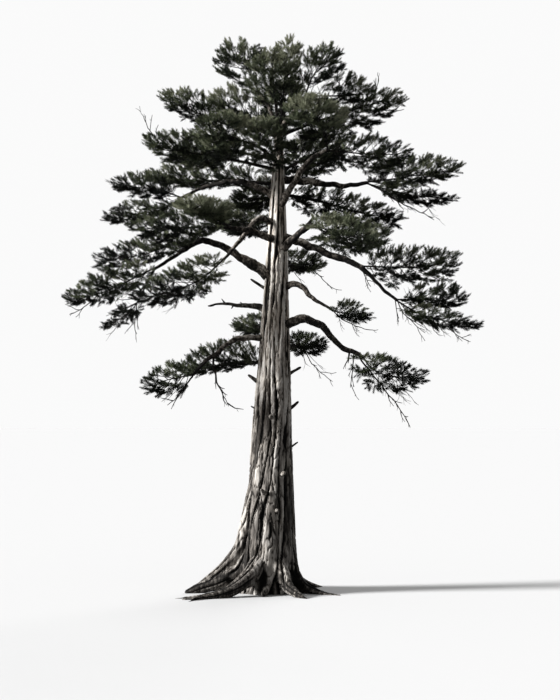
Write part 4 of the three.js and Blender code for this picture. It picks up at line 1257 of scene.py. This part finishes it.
def level_of(tree, lighting, seen):
    """How bright a thing is where it lights the tree and where the camera sees it."""
    rays = tree.nodes.new("ShaderNodeLightPath")
    level = tree.nodes.new("ShaderNodeMapRange")
    level.inputs["To Min"].default_value = lighting
    level.inputs["To Max"].default_value = seen
    tree.links.new(rays.outputs["Is Camera Ray"], level.inputs["Value"])
    return level.outputs["Result"]


for name, light in LIGHTS.items():
    add_light(name, *light)

world = bpy.data.worlds.new("pale_room")
world.use_nodes = True
room = world.node_tree.nodes["Background"]
room.inputs["Color"].default_value = (1, 1, 1, 1)
world.node_tree.links.new(level_of(world.node_tree, *ROOM_LEVELS), room.inputs["Strength"])
bpy.context.scene.world = world
bpy.context.scene.view_settings.view_transform = "Standard"

floor_bm = bmesh.new()
bmesh.ops.create_grid(floor_bm, x_segments=4, y_segments=4, size=FLOOR_SIZE)
floor = piece_of(floor_bm, "floor")
floor_material, floor_tree, floor_surface = new_material("pale_floor")
floor_tree.links.new(level_of(floor_tree, *FLOOR_LEVELS), floor_surface.inputs["Base Color"])
floor_surface.inputs["Roughness"].default_value = 0.9
floor_surface.inputs["Specular IOR Level"].default_value = 0.0
floor.data.materials.append(floor_material)

# The pieces.
bark = bark_group()
trunk_bark = bark_material("trunk_bark", bark, "plate_and_painted_shading", "upper", 0.11, 0.02)
finish(trunk_piece(), trunk_bark, "bark", "trunk")
bough_bark = bark_material("bough_bark", bark, "plate_and_painted_shading", 0.42, 0.8, 0.014)
dead_wood = bark_material("dead_wood", bark, 0.55, 0.1, 0.8, 0.008)
for index, bough in enumerate(BOUGHS):
    wood = (dead_wood, "dead_wood") if bough["name"].endswith("_dead") else (bough_bark, "bark")
    finish(bough_piece(bough, index), *wood, "bough_" + bough["name"])
broken_wood = bark_material("broken_wood", bark, 0.9, 0.1, 0.8, 0.008)
finish(stub_piece("side_stubs", range(SIDE_STUBS)), dead_wood, "dead_wood")
finish(stub_piece("broken_stubs", range(SIDE_STUBS, len(STUBS))), broken_wood, "dead_wood")

growth = Growth()
for index, mass in enumerate(MASSES):
    mass["space"] = space_of(mass)
    grow_mass(growth, mass, index)
limbs = {"bough_" + bough["name"]: bough for bough in BOUGHS}
limbs |= {"foliage_" + mass["name"]: mass for mass in MASSES}
for number, twig in enumerate(DEAD_TWIGS):
    dead_twig(growth, twig, limbs, DEAD_TWIG_SEED + number)
twig_bark = bark_material("twig_bark", bark, 0.2, 0.4, 0.8, 0.003)
foliage = [name for name in limbs if name.startswith("foliage_")]
for number, piece in enumerate(twig_pieces(growth)):
    finish(piece, twig_bark, "bark", *(foliage if number == 0 else ()))
for piece, material in needle_pieces(growth):
    finish(piece, material, "needles")
